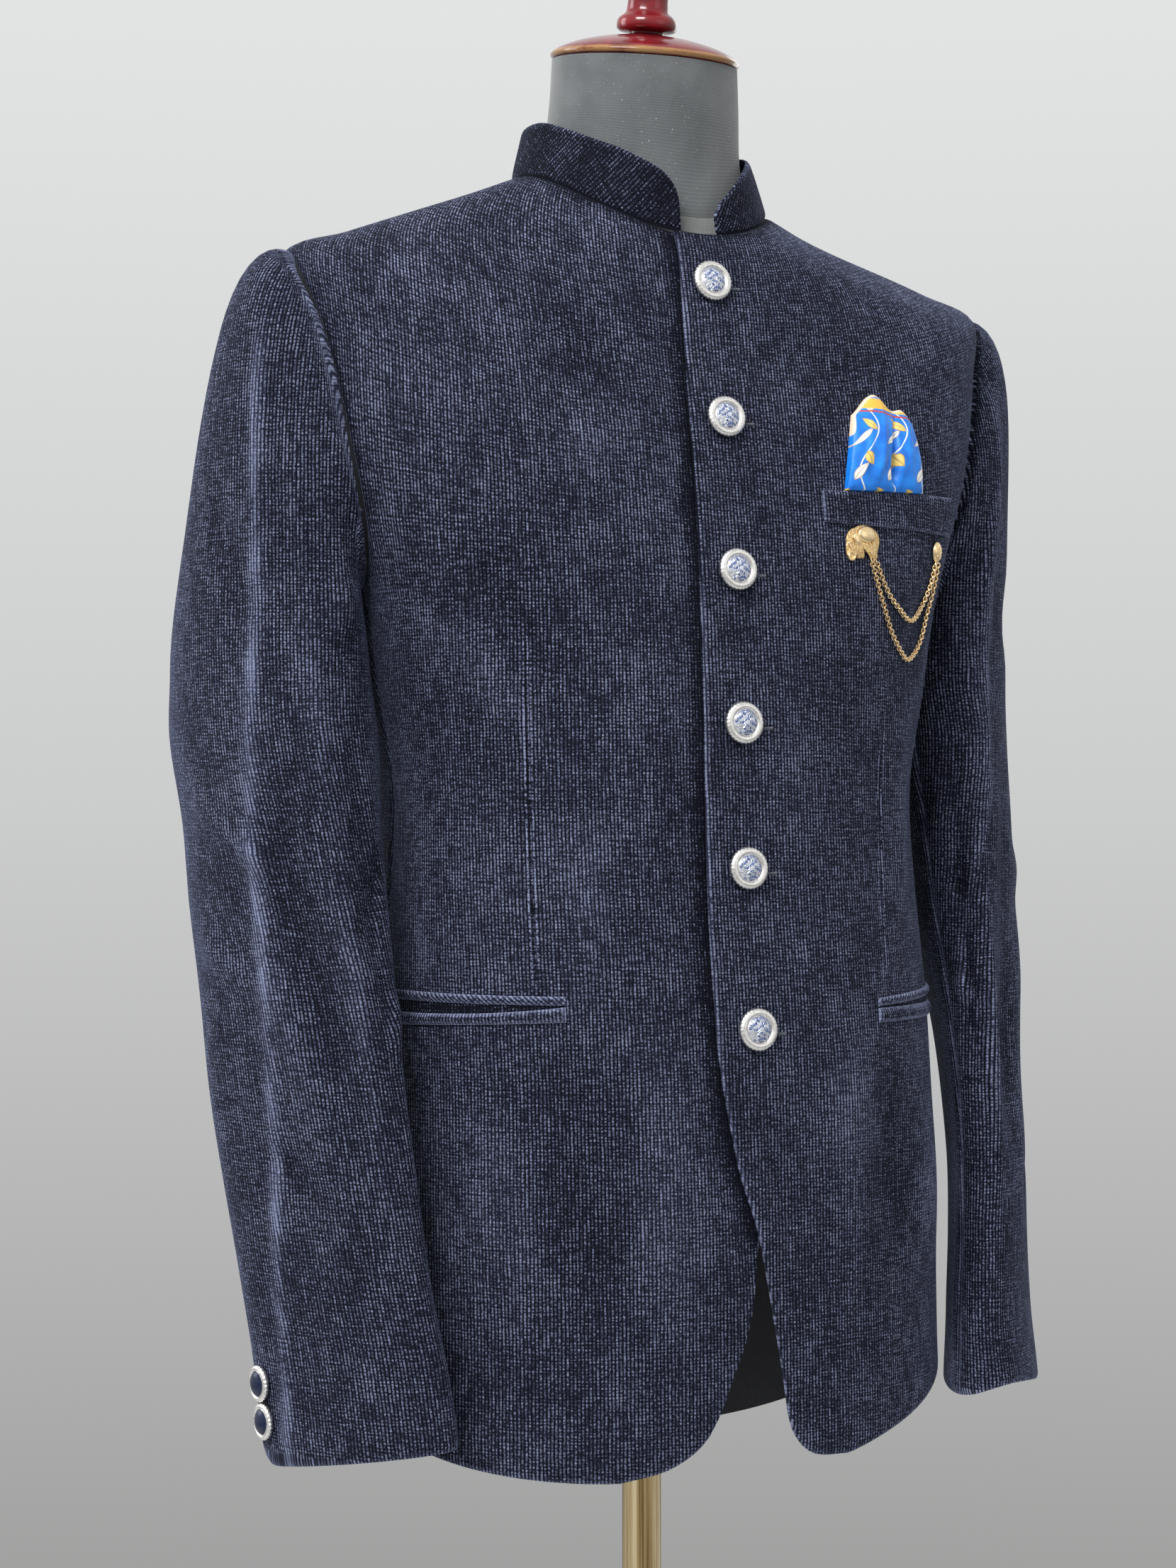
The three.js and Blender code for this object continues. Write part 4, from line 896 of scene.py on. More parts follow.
# turn round the sleeve in degrees and height: from, to, bow, width, height
sleeveCreases = {
    -1: [
        (128, 1330, 118, 1080, 4, 7, 3.7), (118, 1100, 122, 860, -3, 7, 4.1), (96, 1180, 104, 900, 4, 9, -4.1),
        (150, 1150, 140, 900, -3, 10, -3.7), (176, 1060, 158, 820, 4, 10, 3.1), (210, 1120, 150, 1060, 5, 9, 3.4),
        (70, 1090, 120, 1030, 4, 9, -3.4), (225, 1050, 170, 1000, -4, 9, 3.1), (60, 1010, 110, 960, -4, 9, 2.9),
        (190, 1290, 150, 1200, 5, 11, -3.1), (80, 1250, 118, 1190, 4, 9, 2.7), (200, 930, 150, 870, 4, 9, -2.7),
        (250, 1160, 320, 1110, 5, 9, 3.4), (250, 1060, 330, 1020, -4, 9, -3.1), (260, 960, 340, 910, 4, 10, 2.7),
    ],
    1: [
        (112, 1330, 104, 1090, 4, 8, 3.4), (104, 1110, 110, 850, -3, 7, 3.7), (86, 1190, 92, 900, 4, 9, -4.1),
        (140, 1160, 132, 880, 3, 11, -3.7), (170, 1080, 150, 820, 4, 10, 3.2), (215, 1110, 150, 1050, 5, 9, 3.4),
        (60, 1100, 112, 1040, 4, 9, -3.4), (225, 1040, 165, 985, -4, 9, 3.1), (58, 1020, 104, 965, -4, 9, 3.1),
        (186, 1280, 148, 1195, 5, 11, -3.1), (70, 1245, 110, 1180, 4, 9, 2.7), (205, 920, 150, 860, 4, 9, -2.7),
        (250, 1150, 325, 1105, 5, 9, 3.4), (250, 1055, 330, 1010, -4, 9, -3.1), (262, 950, 340, 905, 4, 10, 2.7),
    ],
}


# the pressed fold down the front of each sleeve
pressedFolds = {
    -1: table("z turn", (744, 212), (816, 204), (909, 190), (1034, 173), (1078, 168), (1126, 160), (1169, 155),
              (1233, 150), (1330, 147), (1374, 146)),
    1: table("z turn", (744, 44), (860, 50), (940, 62), (1040, 84), (1105, 108), (1174, 112), (1290, 116),
             (1374, 118)),
}


def pressed(turns, z, side, width):
    away = turns - readTable(pressedFolds[side], "turn", z, "z")
    return np.exp(-((away / width) ** 2)) * ease((1392 - z) / 40)


def sleevePoint(turn, z):
    ring = {key: readTable(sleeveRings, key, z, "z") for key in ("x", "y", "long", "thick", "turn")}
    t, inward = turn - quarterTurn, np.radians(ring["turn"])
    along, across = ring["long"] * np.cos(t), ring["thick"] * np.sin(t)
    x = ring["x"] - along * np.sin(inward) + across * np.cos(inward)
    y = ring["y"] - along * np.cos(inward) - across * np.sin(inward)
    return np.stack(np.broadcast_arrays(x, y, z), -1)


def sleeveGrid(liftSides):
    # rows down the arm by points round it, and their outward directions
    k = np.arange(roundSleeve)
    half = roundSleeve // 2
    up = armLevels()
    at = np.where(k <= half, up[np.minimum(k, half)], up[np.clip(roundSleeve - k, 0, half)])
    angle = np.where(k <= half, outerAngle(at, True), outerAngle(at, False))
    angle[[0, half]] = quarterTurn
    point, normal = bodyPoint(angle, at), bodyNormal(angle, at)
    inward = point.mean(0) - point
    inward = unit(inward - normal * (inward * normal).sum(-1, keepdims=True))
    start = point + inward * cloth["armholeGap"]
    turn = fullTurn(roundSleeve)
    c, s = np.cos(turn), np.sin(turn)
    leave = np.stack([crown["side"] - crown["topMore"] * c, -crown["spread"] * s,
                      -crown["drop"] - crown["dropMore"] * c], -1)
    end = sleevePoint(turn, np.full(roundSleeve, float(sleeve["bicepZ"])))
    arrive = (end - sleevePoint(turn, np.full(roundSleeve, sleeve["bicepZ"] + 1.0)))
    arrive = arrive * np.linalg.norm(end - start, axis=-1, keepdims=True)
    rows = [start]
    headSteps = np.concatenate([[0.012, 0.028, 0.05], np.linspace(0.08, 1, sleeve["headRows"] - 3)])
    for v in headSteps:
        p = start * (2 * v**3 - 3 * v**2 + 1) + leave * (v**3 - 2 * v**2 + v)
        p = p + end * (3 * v**2 - 2 * v**3) + arrive * (v**3 - v**2)
        full = (2 * (1 - c) * v * (1 - v) ** 3)[:, None]
        rows.append(p + np.array([crown["rollOut"], 0, crown["rollUp"]]) * full)
    fromVent = (np.degrees(turn) - sleeve["ventTurn"]) / sleeve["ventWidth"]
    bottom = blendTo(sleeve["cuffBack"], sleeve["cuffFront"], (1 + s) / 2)
    bottom = bottom + sleeve["ventRise"] * np.exp(-(fromVent**2))
    fromMiddle = (np.degrees(turn) - 60 + 180) % 360 - 180
    bottom = bottom + liftSides * (1 - np.exp(-((fromMiddle / 48) ** 2)))
    armSteps = np.concatenate([np.linspace(0, 0.985, sleeve["armRows"] - 3)[1:], [0.992, 0.997, 1]])
    for v in armSteps:
        rows.append(sleevePoint(turn, blendTo(sleeve["bicepZ"], bottom, v)))
    rows = np.array(rows)
    around = np.roll(rows, -1, axis=1) - np.roll(rows, 1, axis=1)
    down = np.gradient(rows, axis=0)
    faceOut = unit(np.cross(around, -down))
    v = np.concatenate([[0], headSteps, np.ones(len(armSteps))])
    blend = ease(v * 6)[:, None, None]
    return rows, unit(normal * (1 - blend) + faceOut * blend)


# the left cuff's hem rises more at its sides than the right one's
sleeveShapes = {1: sleeveGrid(9.0), -1: sleeveGrid(0.0)}


def straightGrain(rows):
    # wales that run down the arm: the distance round it at each height, and the distance up its middle line
    heights = np.linspace(730.0, 1430.0, 1400)
    columns = range(rows.shape[1])
    cut = np.stack([np.stack([np.interp(heights, rows[::-1, k, 2], rows[::-1, k, axis]) for axis in range(3)], -1)
                    for k in columns])
    run = runAlong(cut)
    centre = rows.shape[1] // 2
    u = np.stack([np.interp(rows[:, k, 2], heights, run[k] - run[centre]) for k in columns], 1)
    down = runAlong(rows[:, centre])
    v = -np.interp(rows[..., 2], rows[::-1, centre, 2], down[::-1])
    v = v + np.maximum(rows[..., 2] - rows[0, centre, 2], 0)
    return np.stack([u, v], -1)


def addSleevePiece(name, first, last, side):
    pick = np.arange(first, last + 1) % roundSleeve
    sleeveRows, sleeveOut = sleeveShapes[side]
    rows, out = sleeveRows[:, pick].copy(), sleeveOut[:, pick]
    turns = np.arange(first, last + 1) * 360 / roundSleeve
    for column, step in ((0, 1), (-1, -1)):
        toward = unit(sleeveRows[:, (pick[column] + step) % roundSleeve] - sleeveRows[:, pick[column]])
        rows[:, column] += toward * cloth["seamGap"] / 2
    # a narrow column beside each seam carries the rolled edge
    beside = [blendTo(rows[:, 0], rows[:, 1], 0.3), blendTo(rows[:, -1], rows[:, -2], 0.3)]
    rows = np.concatenate(
        [rows[:, :1], beside[0][:, None], rows[:, 1:-1], beside[1][:, None], rows[:, -1:]], axis=1)
    out = np.concatenate([out[:, :1], out[:, :1], out[:, 1:-1], out[:, -1:], out[:, -1:]], axis=1)
    turns = np.concatenate([turns[:1], turns[:1] + 1.3, turns[1:-1], turns[-1:] - 1.3, turns[-1:]])
    base = mirrored(rows, side)
    u, v, edge = edgeDistances(base)
    z = base[..., 2]
    turned = turns[None, :] % 360 + 0 * z
    height = creaseHeight(sleeveCreases[side], turned, z)
    height = height + sleeve["foldRise"] * pressed(turned, z, side, sleeve["foldWidth"])
    height = (height + softWaves(u, v, 21 + side, 90, 0.5)) * ease(edge / 18) * ease(v / 60)
    fromLip = v / sleeve["lipWidth"]
    height = height + sleeve["lipRise"] * fromLip * np.exp(1 - fromLip) * ease((levels["tip"] - 8 - z) / 40)
    if side > 0:
        height = height + sleeve["flare"] * ease((sleeve["flareFrom"] - z) / sleeve["flareOver"])
    height = height + creaseHeight(sleeveFullness[side], turned, z)
    outer = mirrored(rows + out * (height - rolled(edge))[..., None], side)
    inner = mirrored(rows + out * (height - cloth["wall"])[..., None], side)
    grain = straightGrain(rows) * np.array([side, 1])
    # painted highlight down the pressed fold, uneven along its length, a painted highlight on raised creases, and
    # painted light along the armhole seam
    wearAndShine = 0.8 + 0.25 * np.sin(z / 23) + 0.2 * np.sin(z / 9.4 + 1)
    fold = 0.55 * pressed(turned, z, side, 6.5) + 0.95 * pressed(turned, z, side, 2.1)
    wearAndPaintedLight = paleNearEdge(edge) + fold * wearAndShine * foldHighlight[side] + 0.08 * (height - 1)
    wearAndPaintedLight = wearAndPaintedLight + seamHighlightAndShade[side] * np.clip(1 - np.abs(v - 3.5) / 3.5, 0, 1)
    piece = makeShell(name, outer, inner, grain, wearAndPaintedLight, [velvet, lining])
    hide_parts(name)
    declareCloth(piece, grain)


def addSeamTape(name, middle, inward, normal, half, depth):
    # a narrow dark tape behind an open seam, coloured near black as painted shade
    rims = [middle - inward * half - normal * depth, middle + inward * half - normal * depth]
    rims += [rims[1] - normal * 0.3, rims[0] - normal * 0.3]
    count = len(middle)
    faces = []
    for j in range(4):
        this, following = j * count, (j + 1) % 4 * count
        faces += [[this + i, this + (i + 1) % count, following + (i + 1) % count, following + i]
                  for i in range(count)]
    tape = makeMesh(name, np.concatenate(rims), faces, [velvetPaintedShade], None, {"grain": np.zeros((4 * count, 2))})


def addArmholeTape(word, side):
    flip = np.array([side, 1, 1])
    sleeveRows, sleeveOut = sleeveShapes[side]
    toward = unit(sleeveRows[0].mean(0) - sleeveRows[0])
    inward = unit(toward - sleeveOut[0] * (toward * sleeveOut[0]).sum(-1, keepdims=True))
    addSeamTape(f"armhole_tape_{word}", mirrored(sleeveRows[0], side), inward * flip, sleeveOut[0] * flip,
                sleeve["tapeHalf"], sleeve["tapeDepth"])


for word, side in (("left", 1), ("right", -1)):
    addArmholeTape(word, side)
    addSleevePiece(f"sleeve_top_{word}", sleeve["frontSeam"], sleeve["backSeam"], side)
    addSleevePiece(f"sleeve_under_{word}", sleeve["backSeam"], roundSleeve + sleeve["frontSeam"], side)
print("sleeves made")


# The stand collar, from its right end round the back to its left end
collar = {"rightEnd": 13.5, "leftEnd": 10, "height": 36, "sideLean": 11.6, "frontLean": 3, "sway": -3,
          "clear": 0.8, "midY": 9, "rows": 14, "grainTurn": -38, "rightTall": 31.2, "leftTall": 33}
collarHeights = table("root right left", *[(math.sqrt(a), b, c) for a, b, c in (
    (0, 11, 6), (0.8, 21, 10.5), (3.4, 26.3, 14), (7, 30, 17.5), (14, 33.4, 21), (24, 35, 25.5), (40, 35.8, 30),
    (62, 33.4, 32.5), (92, 31.2, 33))])


def turnedGrain(grain, degrees):
    c, s = math.cos(math.radians(degrees)), math.sin(math.radians(degrees))
    u, v = grain[..., 0], grain[..., 1]
    return np.stack([u * c - v * s, u * s + v * c], -1)


def addCollar():
    start = -angleAtX(collar["rightEnd"], levels["neck"])
    whole = 2 * math.pi + start - angleAtX(collar["leftEnd"], levels["neck"])
    angles = start - whole * np.linspace(0, 1, 481)
    ring = bodyPoint(angles, np.full(len(angles), float(levels["neck"])))
    run = runAlong(ring)
    total = run[-1]
    ends = np.array([0, 0.25, 0.8, 1.8, 3.2, 5, 7, 10, 14, 19, 25, 32, 40, 50, 62, 76, 92])
    rounded = ends[-1]
    middle = np.linspace(rounded, total - rounded, 44)[1:-1]
    along = np.concatenate([ends, middle, total - ends[::-1]])
    tall = np.concatenate([
        readTable(collarHeights, "right", np.sqrt(ends), "root"),
        blendTo(collar["rightTall"], collar["leftTall"], (middle - rounded) / (total - 2 * rounded)),
        readTable(collarHeights, "left", np.sqrt(ends), "root")[::-1]])
    foot = bodyPoint(np.interp(along, run, angles), np.full(len(along), float(levels["neck"])))
    out = unit((foot - np.array([0, collar["midY"], 0])) * np.array([1, 1, 0]))
    steps = np.linspace(0.12, 0.86, collar["rows"] - 7)
    shares = np.concatenate([[0, 0.02, 0.06], steps, [0.92, 0.96, 0.985, 1]])

    def skin(depth):
        rise = tall[None, :] * shares[:, None]
        share = rise / collar["height"]
        p = foot[None] - out[None] * np.asarray(depth)[..., None]
        x = p[..., 0] + (collar["sway"] - collar["sideLean"] * out[None, :, 0]) * share
        y = p[..., 1] - collar["frontLean"] * out[None, :, 1] * share
        return settled(np.stack([x, y, p[..., 2] + collar["clear"] + rise], -1))

    flat = skin(np.zeros((len(shares), len(along))))
    u, v, edge = edgeDistances(flat)
    soft = softWaves(u, v, 33, 60, 0.3) * ease(edge / 9)
    outer, inner = skin(rolled(edge) * 0.9 - soft), skin(cloth["wall"] - soft)
    plain = np.stack([np.repeat(along[None], len(shares), axis=0), v], -1)
    grain = turnedGrain(plain, collar["grainTurn"])
    # a near-black tape under the collar's foot: painted shade in the seam
    tapeSkin = skin(np.full((len(shares), len(along)), 1.1))[:1] - np.array([0, 0, 0.6])
    tape = np.concatenate([tapeSkin + np.array([0, 0, 1.6]), tapeSkin - np.array([0, 0, 1.4])])
    tapeGrain = np.zeros((2, len(along), 2))
    tapePiece = makeShell("collar_tape", tape, tape - out[None] * 0.3, tapeGrain, tapeGrain[..., 0],
                          [velvetPaintedShade, velvetPaintedShade])
    wearAndPaintedLight = np.clip(1 - edge / 3.4, 0, 1) * ease(shares * 12)[:, None]
    # the collar is drawn in the darker copy of the velvet: painted shade
    piece = makeShell("collar", outer, inner, grain, wearAndPaintedLight, [velvetCollar, velvetCollar])
    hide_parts("collar")
    declareCloth(piece, plain)


addCollar()
print("collar made")


# Cloth that lies on a front: the welt, the jets and the square
def spreadShares(count, close):
    # even steps, with two narrow ones at each end for the rolled edge
    even = np.linspace(0, 1, count)[1:-1]
    return np.concatenate([[0, close * 0.3, close], even, [1 - close, 1 - close * 0.3, 1]])


def frontPatch(name, place, side, thick, low, materials, uShares, vShares, grainTurn=0, edgePaleness=1.0, **declared):
    u, v = np.meshgrid(uShares, vShares)
    angle, at = place(u, v)
    base = mirrored(bodyPoint(angle, at), side)
    height = frontRise(base[..., 0], base[..., 2])
    run, rise, edge = edgeDistances(base)
    top = thick(u, v, edge)
    outer = mirrored(offBody(angle, at, height + top), side)
    inner = mirrored(offBody(angle, at, height + low), side)
    plain = np.stack([run * side, rise], -1)
    piece = makeShell(name, outer, inner, turnedGrain(plain, grainTurn), paleNearEdge(edge) * edgePaleness, materials)
    if declared:
        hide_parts(name)
        declareCloth(piece, plain)
    return piece


welt = {"inner": 61, "outer": 168, "thick": 2.1, "bottom": (1275, 1273.5), "top": (1293.6, 1296.8)}


def weltTop(x):
    return blendTo(*welt["top"], (x - welt["inner"]) / (welt["outer"] - welt["inner"]))


def addWelt():
    def place(u, v):
        x = blendTo(welt["inner"], welt["outer"], u)
        return placeAt(x, blendTo(blendTo(*welt["bottom"], u), weltTop(x), v))

    def thick(u, v, edge):
        return cloth["patchClear"] + welt["thick"] - 0.9 * np.clip(1 - edge / 2.6, 0, 1) ** 2

    frontPatch("breast_welt", place, 1, thick, cloth["patchClear"], [velvet, velvet], spreadShares(48, 0.012),
               spreadShares(12, 0.05), 0, slot="velvet", held="laid", restsOn=["front_left"])


square = {"bottom": (77, 136), "top": (87, 131), "shoulderZ": 1336.5, "swell": 8}
squareHumps = [{"at": 0.36, "width": 0.29, "rise": 16, "fold": 1},
               {"at": 0.82, "width": 0.15, "rise": 7, "fold": 0.8}]
# across the square and up it: from, to, bow, width, height
squareFolds = [
    (0.30, 0.02, 0.44, 0.98, 0.03, 0.035, 1.6), (0.58, 0.0, 0.67, 0.98, -0.03, 0.04, -6.5),
    (0.66, 0.05, 0.62, 0.95, 0.02, 0.04, 1.5), (0.12, 0.05, 0.26, 0.9, 0.02, 0.04, 1.1),
    (0.86, 0.05, 0.90, 0.9, -0.02, 0.045, -1.0), (0.42, 0.1, 0.5, 0.7, 0.02, 0.03, -1.2),
]


def addSquare():
    def hump(u, row):
        return np.exp(-(((u - row["at"]) / row["width"]) ** 2))

    def place(u, v):
        x = blendTo(blendTo(*square["bottom"], u), blendTo(*square["top"], u), v)
        head = square["shoulderZ"] + sum(row["rise"] * hump(u, row) for row in squareHumps)
        return placeAt(x, blendTo(weltTop(x) + cloth["seamGap"], head, v))

    def thick(u, v, edge):
        fold = np.max([row["fold"] * hump(u, row) for row in squareHumps], axis=0)
        swell = square["swell"] * (0.45 + 0.55 * fold) * np.sin(math.pi * (0.12 + 0.82 * v)) ** 0.7
        folds = creaseHeight(squareFolds, u, v) * ease(edge / 4)
        return np.maximum(cloth["patchClear"] + 0.9, cloth["patchClear"] + 1.6 + swell + folds - rolled(edge))

    silk = silkMaterial()
    shares = spreadShares(64, 0.008)
    return frontPatch("pocket_square", place, 1, thick, cloth["patchClear"], [silk, silk], shares, shares, 0,
                      slot="square_silk", held="folded", restsOn=["breast_welt", "front_left"])


mouthOpening = 2.6
waistPockets = [
    {"word": "right", "side": -1, "inner": 107, "outerAngle": 1.5, "z": 1000.5, "rise": 0},
    {"word": "left", "side": 1, "inner": 88, "outerAngle": 1.5, "z": 995, "rise": 6},
]


def addWaistPocket(pocket):
    z, rise, side, word = pocket["z"], pocket["rise"], pocket["side"], pocket["word"]

    def strip(lowInner, highInner, lowOuter, highOuter, opening=1.0):
        # the mouth opens fast from its pointed inner end
        def place(u, v):
            low = blendTo(lowInner, lowOuter, u if opening > 0 else 1 - (1 - u) ** mouthOpening)
            at = blendTo(low, blendTo(highInner, highOuter, 1 - (1 - u) ** abs(opening)), v)
            return blendTo(angleAtX(pocket["inner"], at), pocket["outerAngle"], u), at
        return place

    def jetThick(u, v, edge):
        cord = 0.22 * np.sin(u * 150 + v * 4)
        return cloth["patchClear"] + 1.4 + 0.8 * np.sin(math.pi * v) + cord * ease(edge / 2) - rolled(edge) * 0.7

    upper = strip(z + 0.7, z + 5.5, z + rise + 1, z + rise + 6.5)
    lower = strip(z - 8.5, z - 0.2, z + rise - 14, z + rise - 6, mouthOpening)
    frontPatch(f"jet_upper_{word}", upper, side, jetThick, cloth["patchClear"], [velvet, velvet],
               spreadShares(150, 0.004), spreadShares(8, 0.06), 48 * side, 1.7,
               slot="velvet", held="laid", restsOn=[f"front_{word}"])
    frontPatch(f"jet_lower_{word}", lower, side, lambda u, v, edge: jetThick(u * 0, v, edge), cloth["patchClear"],
               [velvet, velvet], spreadShares(40, 0.01), spreadShares(8, 0.05), 0, 1.9,
               slot="velvet", held="laid", restsOn=[f"front_{word}"])
    # the mouth is a sheet of near-black velvet: painted shade inside the pocket
    mouth = strip(z - 0.1, z + 0.6, z + rise - 5.9, z + rise + 0.9, -1.0)
    dark = frontPatch(f"pocket_mouth_{word}", mouth, side, lambda u, v, edge: 0.34 + 0 * u, 0.12,
                      [velvetPaintedShade, velvetPaintedShade], spreadShares(30, 0.01), spreadShares(4, 0.1))
    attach(dark, "root")


addWelt()
addSquare()
for pocket in waistPockets:
    addWaistPocket(pocket)
print("pockets made")


# Buttons
def turnedParts(profile, sides, flutes=0, fluteDepth=0.0):
    # rings of points from (radius, height, share of the fluting)
    turn = fullTurn(sides)
    rings = []
    for radius, height, share in profile:
        wave = 1 + fluteDepth * share * np.cos(flutes * turn)
        across, up = radius * wave * np.cos(turn), radius * wave * np.sin(turn)
        rings.append(np.stack([across, up, np.full(sides, height)], -1))
    return np.array(rings)


def onFront(x, z, lift):
    # a place above the left front's cloth, and the cloth's direction there
    angle, at = placeAt(np.asarray(x, float), np.asarray(z, float))
    return settled(offBody(angle, at, lift + frontRise(x, z))), bodyNormal(angle, at)


def seatAt(points, place, normal):
    # sets a flat piece on the cloth, its own +z along the cloth's normal and its +y upward
    normal = unit(np.asarray(normal, float))
    across = unit(np.cross((0, 0, 1), normal))
    upward = np.cross(normal, across)
    return place + points[..., :1] * across + points[..., 1:2] * upward + points[..., 2:3] * normal


def addTurned(name, profile, sides, materials, bands, place, normal, flutes=0, depth=0.0, slot=None, uvRadius=1.0):
    rings = turnedParts(profile, sides, flutes, depth)
    rows = len(rings)
    faces = [list(face) for face in gridFaces(rows, sides, around=True)]
    kinds = [bands[i // sides] for i in range(len(faces))]
    points = rings.reshape(-1, 3)
    tips = np.array([[0, 0, profile[0][1]], [0, 0, profile[-1][1]]])
    first, top = len(points), len(points) + 1
    for i in range(sides):
        j = (i + 1) % sides
        faces.append([j, i, first])
        kinds.append(bands[0])
        faces.append([(rows - 1) * sides + i, (rows - 1) * sides + j, top])
        kinds.append(bands[-1])
    points = np.concatenate([points, tips])
    face = points[:, :2] / uvRadius
    piece = makeMesh(name, seatAt(points, place, normal), faces, materials, kinds, {"face": face}, sharp=42)
    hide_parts(name)
    return piece


buttons = {"heights": [1413, 1333, 1245, 1158, 1076, 986], "clear": 0.4, "inner": 7.3}
frontButton = [
    # radius, height, share of the milling
    (3.0, 0.0, 0), (9.4, 0.0, 0), (11.2, 0.7, 0.3), (12.0, 1.8, 1), (12.0, 2.9, 1), (11.6, 3.7, 0.9), (10.8, 4.4, 0.6),
    (9.7, 4.8, 0.35), (8.7, 4.7, 0.2), (8.0, 4.2, 0), (7.6, 3.8, 0), (7.3, 4.0, 0), (7.1, 4.4, 0), (6.0, 5.0, 0),
    (4.5, 5.6, 0), (3.0, 6.1, 0), (1.5, 6.5, 0),
]
frontButtonBands = [0] * 11 + [1] * 5
enamel = enamelMaterial()
for i, z in enumerate(buttons["heights"]):
    addTurned(f"button_front_{i + 1}", frontButton, 96, [silver, enamel], frontButtonBands,
              *onFront(0.0, float(z), buttons["clear"]), 32, 0.022, "button_silver", buttons["inner"])

cuffButtons = {"heights": [790.5, 770], "turn": 232, "clear": 0.4, "inner": 7.4}
cuffButton = [
    (3.0, 0.0, 0), (8.0, 0.0, 0), (9.6, 0.8, 0.5), (10.0, 1.8, 1), (9.9, 2.7, 1), (9.3, 3.5, 0.9), (8.6, 3.9, 0.7),
    (8.0, 3.8, 0.3), (7.6, 3.3, 0), (7.4, 3.1, 0), (7.1, 3.5, 0), (6.0, 4.4, 0), (4.5, 5.05, 0), (3.0, 5.4, 0),
    (1.5, 5.6, 0),
]
cuffButtonBands = [0] * 10 + [1] * 4
dome = darkDomeMaterial()
for word, side in (("left", 1), ("right", -1)):
    for i, z in enumerate(cuffButtons["heights"]):
        turn, z = math.radians(cuffButtons["turn"]), np.array(float(z))
        around = sleevePoint(turn + 0.02, z) - sleevePoint(turn - 0.02, z)
        upward = sleevePoint(turn, z + 2) - sleevePoint(turn, z - 2)
        normal = unit(np.cross(around, upward)) * np.array([side, 1, 1])
        place = mirrored(sleevePoint(turn, z), side) + normal * cuffButtons["clear"]
        addTurned(f"button_cuff_{word}_{i + 1}", cuffButton, 84, [silver, dome], cuffButtonBands, place, normal,
                  28, 0.035, "button_silver", cuffButtons["inner"])
print("buttons made")

stitches = {"from": 11.6, "to": 19.4, "half": 0.95, "high": 0.8}


def addButtonholeEnds():
    # the worked end of each buttonhole shows past its button
    for i, z in enumerate(buttons["heights"]):
        u, v = np.meshgrid(np.linspace(0, 1, 22), np.linspace(0, 1, 9))
        x, height = blendTo(stitches["from"], stitches["to"], u), z - 3 + (v - 0.5) * 2 * stitches["half"]
        angle, at = placeAt(x, height)
        rise = frontRise(x, height)
        bulge = stitches["high"] * np.sin(math.pi * v) ** 0.6 * (1 - np.clip((u - 0.86) / 0.14, 0, 1) ** 2 * 0.9)
        outer = settled(offBody(angle, at, rise + 0.15 + bulge))
        inner = settled(offBody(angle, at, rise + 0.1))
        grain = np.stack([x, height], -1)
        piece = makeShell(f"buttonhole_{i + 1}", outer, inner, grain, np.zeros(u.shape), [thread, thread])


addButtonholeEnds()


# The brooch: an elephant with a saddle, two curb chains and an oval stud
brooch = {"x": 87, "z": 1264, "studX": 151.5, "studZ": 1263, "wire": 0.42, "link": 3.1, "linkWide": 1.25,
          "linkTurn": 38, "headLift": 1.0, "studLift": 0.7, "chainLift": 2.1}
shortChain = [(95.8, 1253.6), (103, 1238), (111.5, 1228.5), (125, 1220.5), (139, 1229), (145.5, 1240),
              (149.6, 1255.6)]
longChain = [(92.2, 1253.6), (99, 1232), (107.5, 1212), (118, 1200.5), (127, 1198), (140, 1209), (148.5, 1231),
             (153.6, 1255.6)]
elephantOutline = [
    (-12.3, 1), (-12.9, -2.5), (-13.0, -5), (-12.6, -8), (-11.7, -10), (-10.2, -10.7), (-8.4, -10.4), (-7.2, -9.2),
    (-7.6, -7.8), (-8.8, -7.3), (-9.4, -6.2), (-9.0, -4.4), (-7.8, -3.7), (-6, -3.6), (-5.4, -5.8), (-4.9, -9),
    (-2.2, -9.2), (0.2, -9), (0.8, -5.6), (2.6, -5.1), (4.4, -5.4), (4.9, -8.8), (7.6, -9), (10.4, -8.8), (10.8, -4.6),
    (12.2, -1.4), (12.9, 2), (12.4, 5), (10.4, 7.7), (7, 9.6), (2.4, 10.4), (-2, 10.1), (-5.4, 8.7), (-8.4, 7.6),
    (-10.9, 5.2), (-12.2, 2.8),
]


def hideMaterial():
    material, tree, shader = newMaterial("brooch_hide", Metallic=1.0)
    grain = node(tree, "ShaderNodeTexVoronoi", "Distance", Vector=placeOf(tree), Scale=900.0)
    tone = colourBy(tree, grain, (0.1, (0.5, 0.3, 0.12)), (0.6, (0.92, 0.66, 0.32)))
    plug(tree, shader.inputs["Base Color"], tone)
    plug(tree, shader.inputs["Roughness"], grain * 0.2 + 0.26)
    bumpFrom(tree, shader, grain, 0.0004, 0.8)
    return material


def pillow(outline, rings, low, high):
    # a flat outline raised toward its middle in rings
    outline = np.array(outline, float)
    centre = outline.mean(0)
    points = [np.column_stack([outline, np.full(len(outline), low)])]
    for share in np.linspace(0, 1, rings, endpoint=False):
        flat = centre + (outline - centre) * (1 - share * 0.999)
        points.append(np.column_stack([flat, np.full(len(outline), blendTo(low + 0.7, high, share**0.5))]))
    return np.concatenate(points), closedFaces(len(points), len(outline))


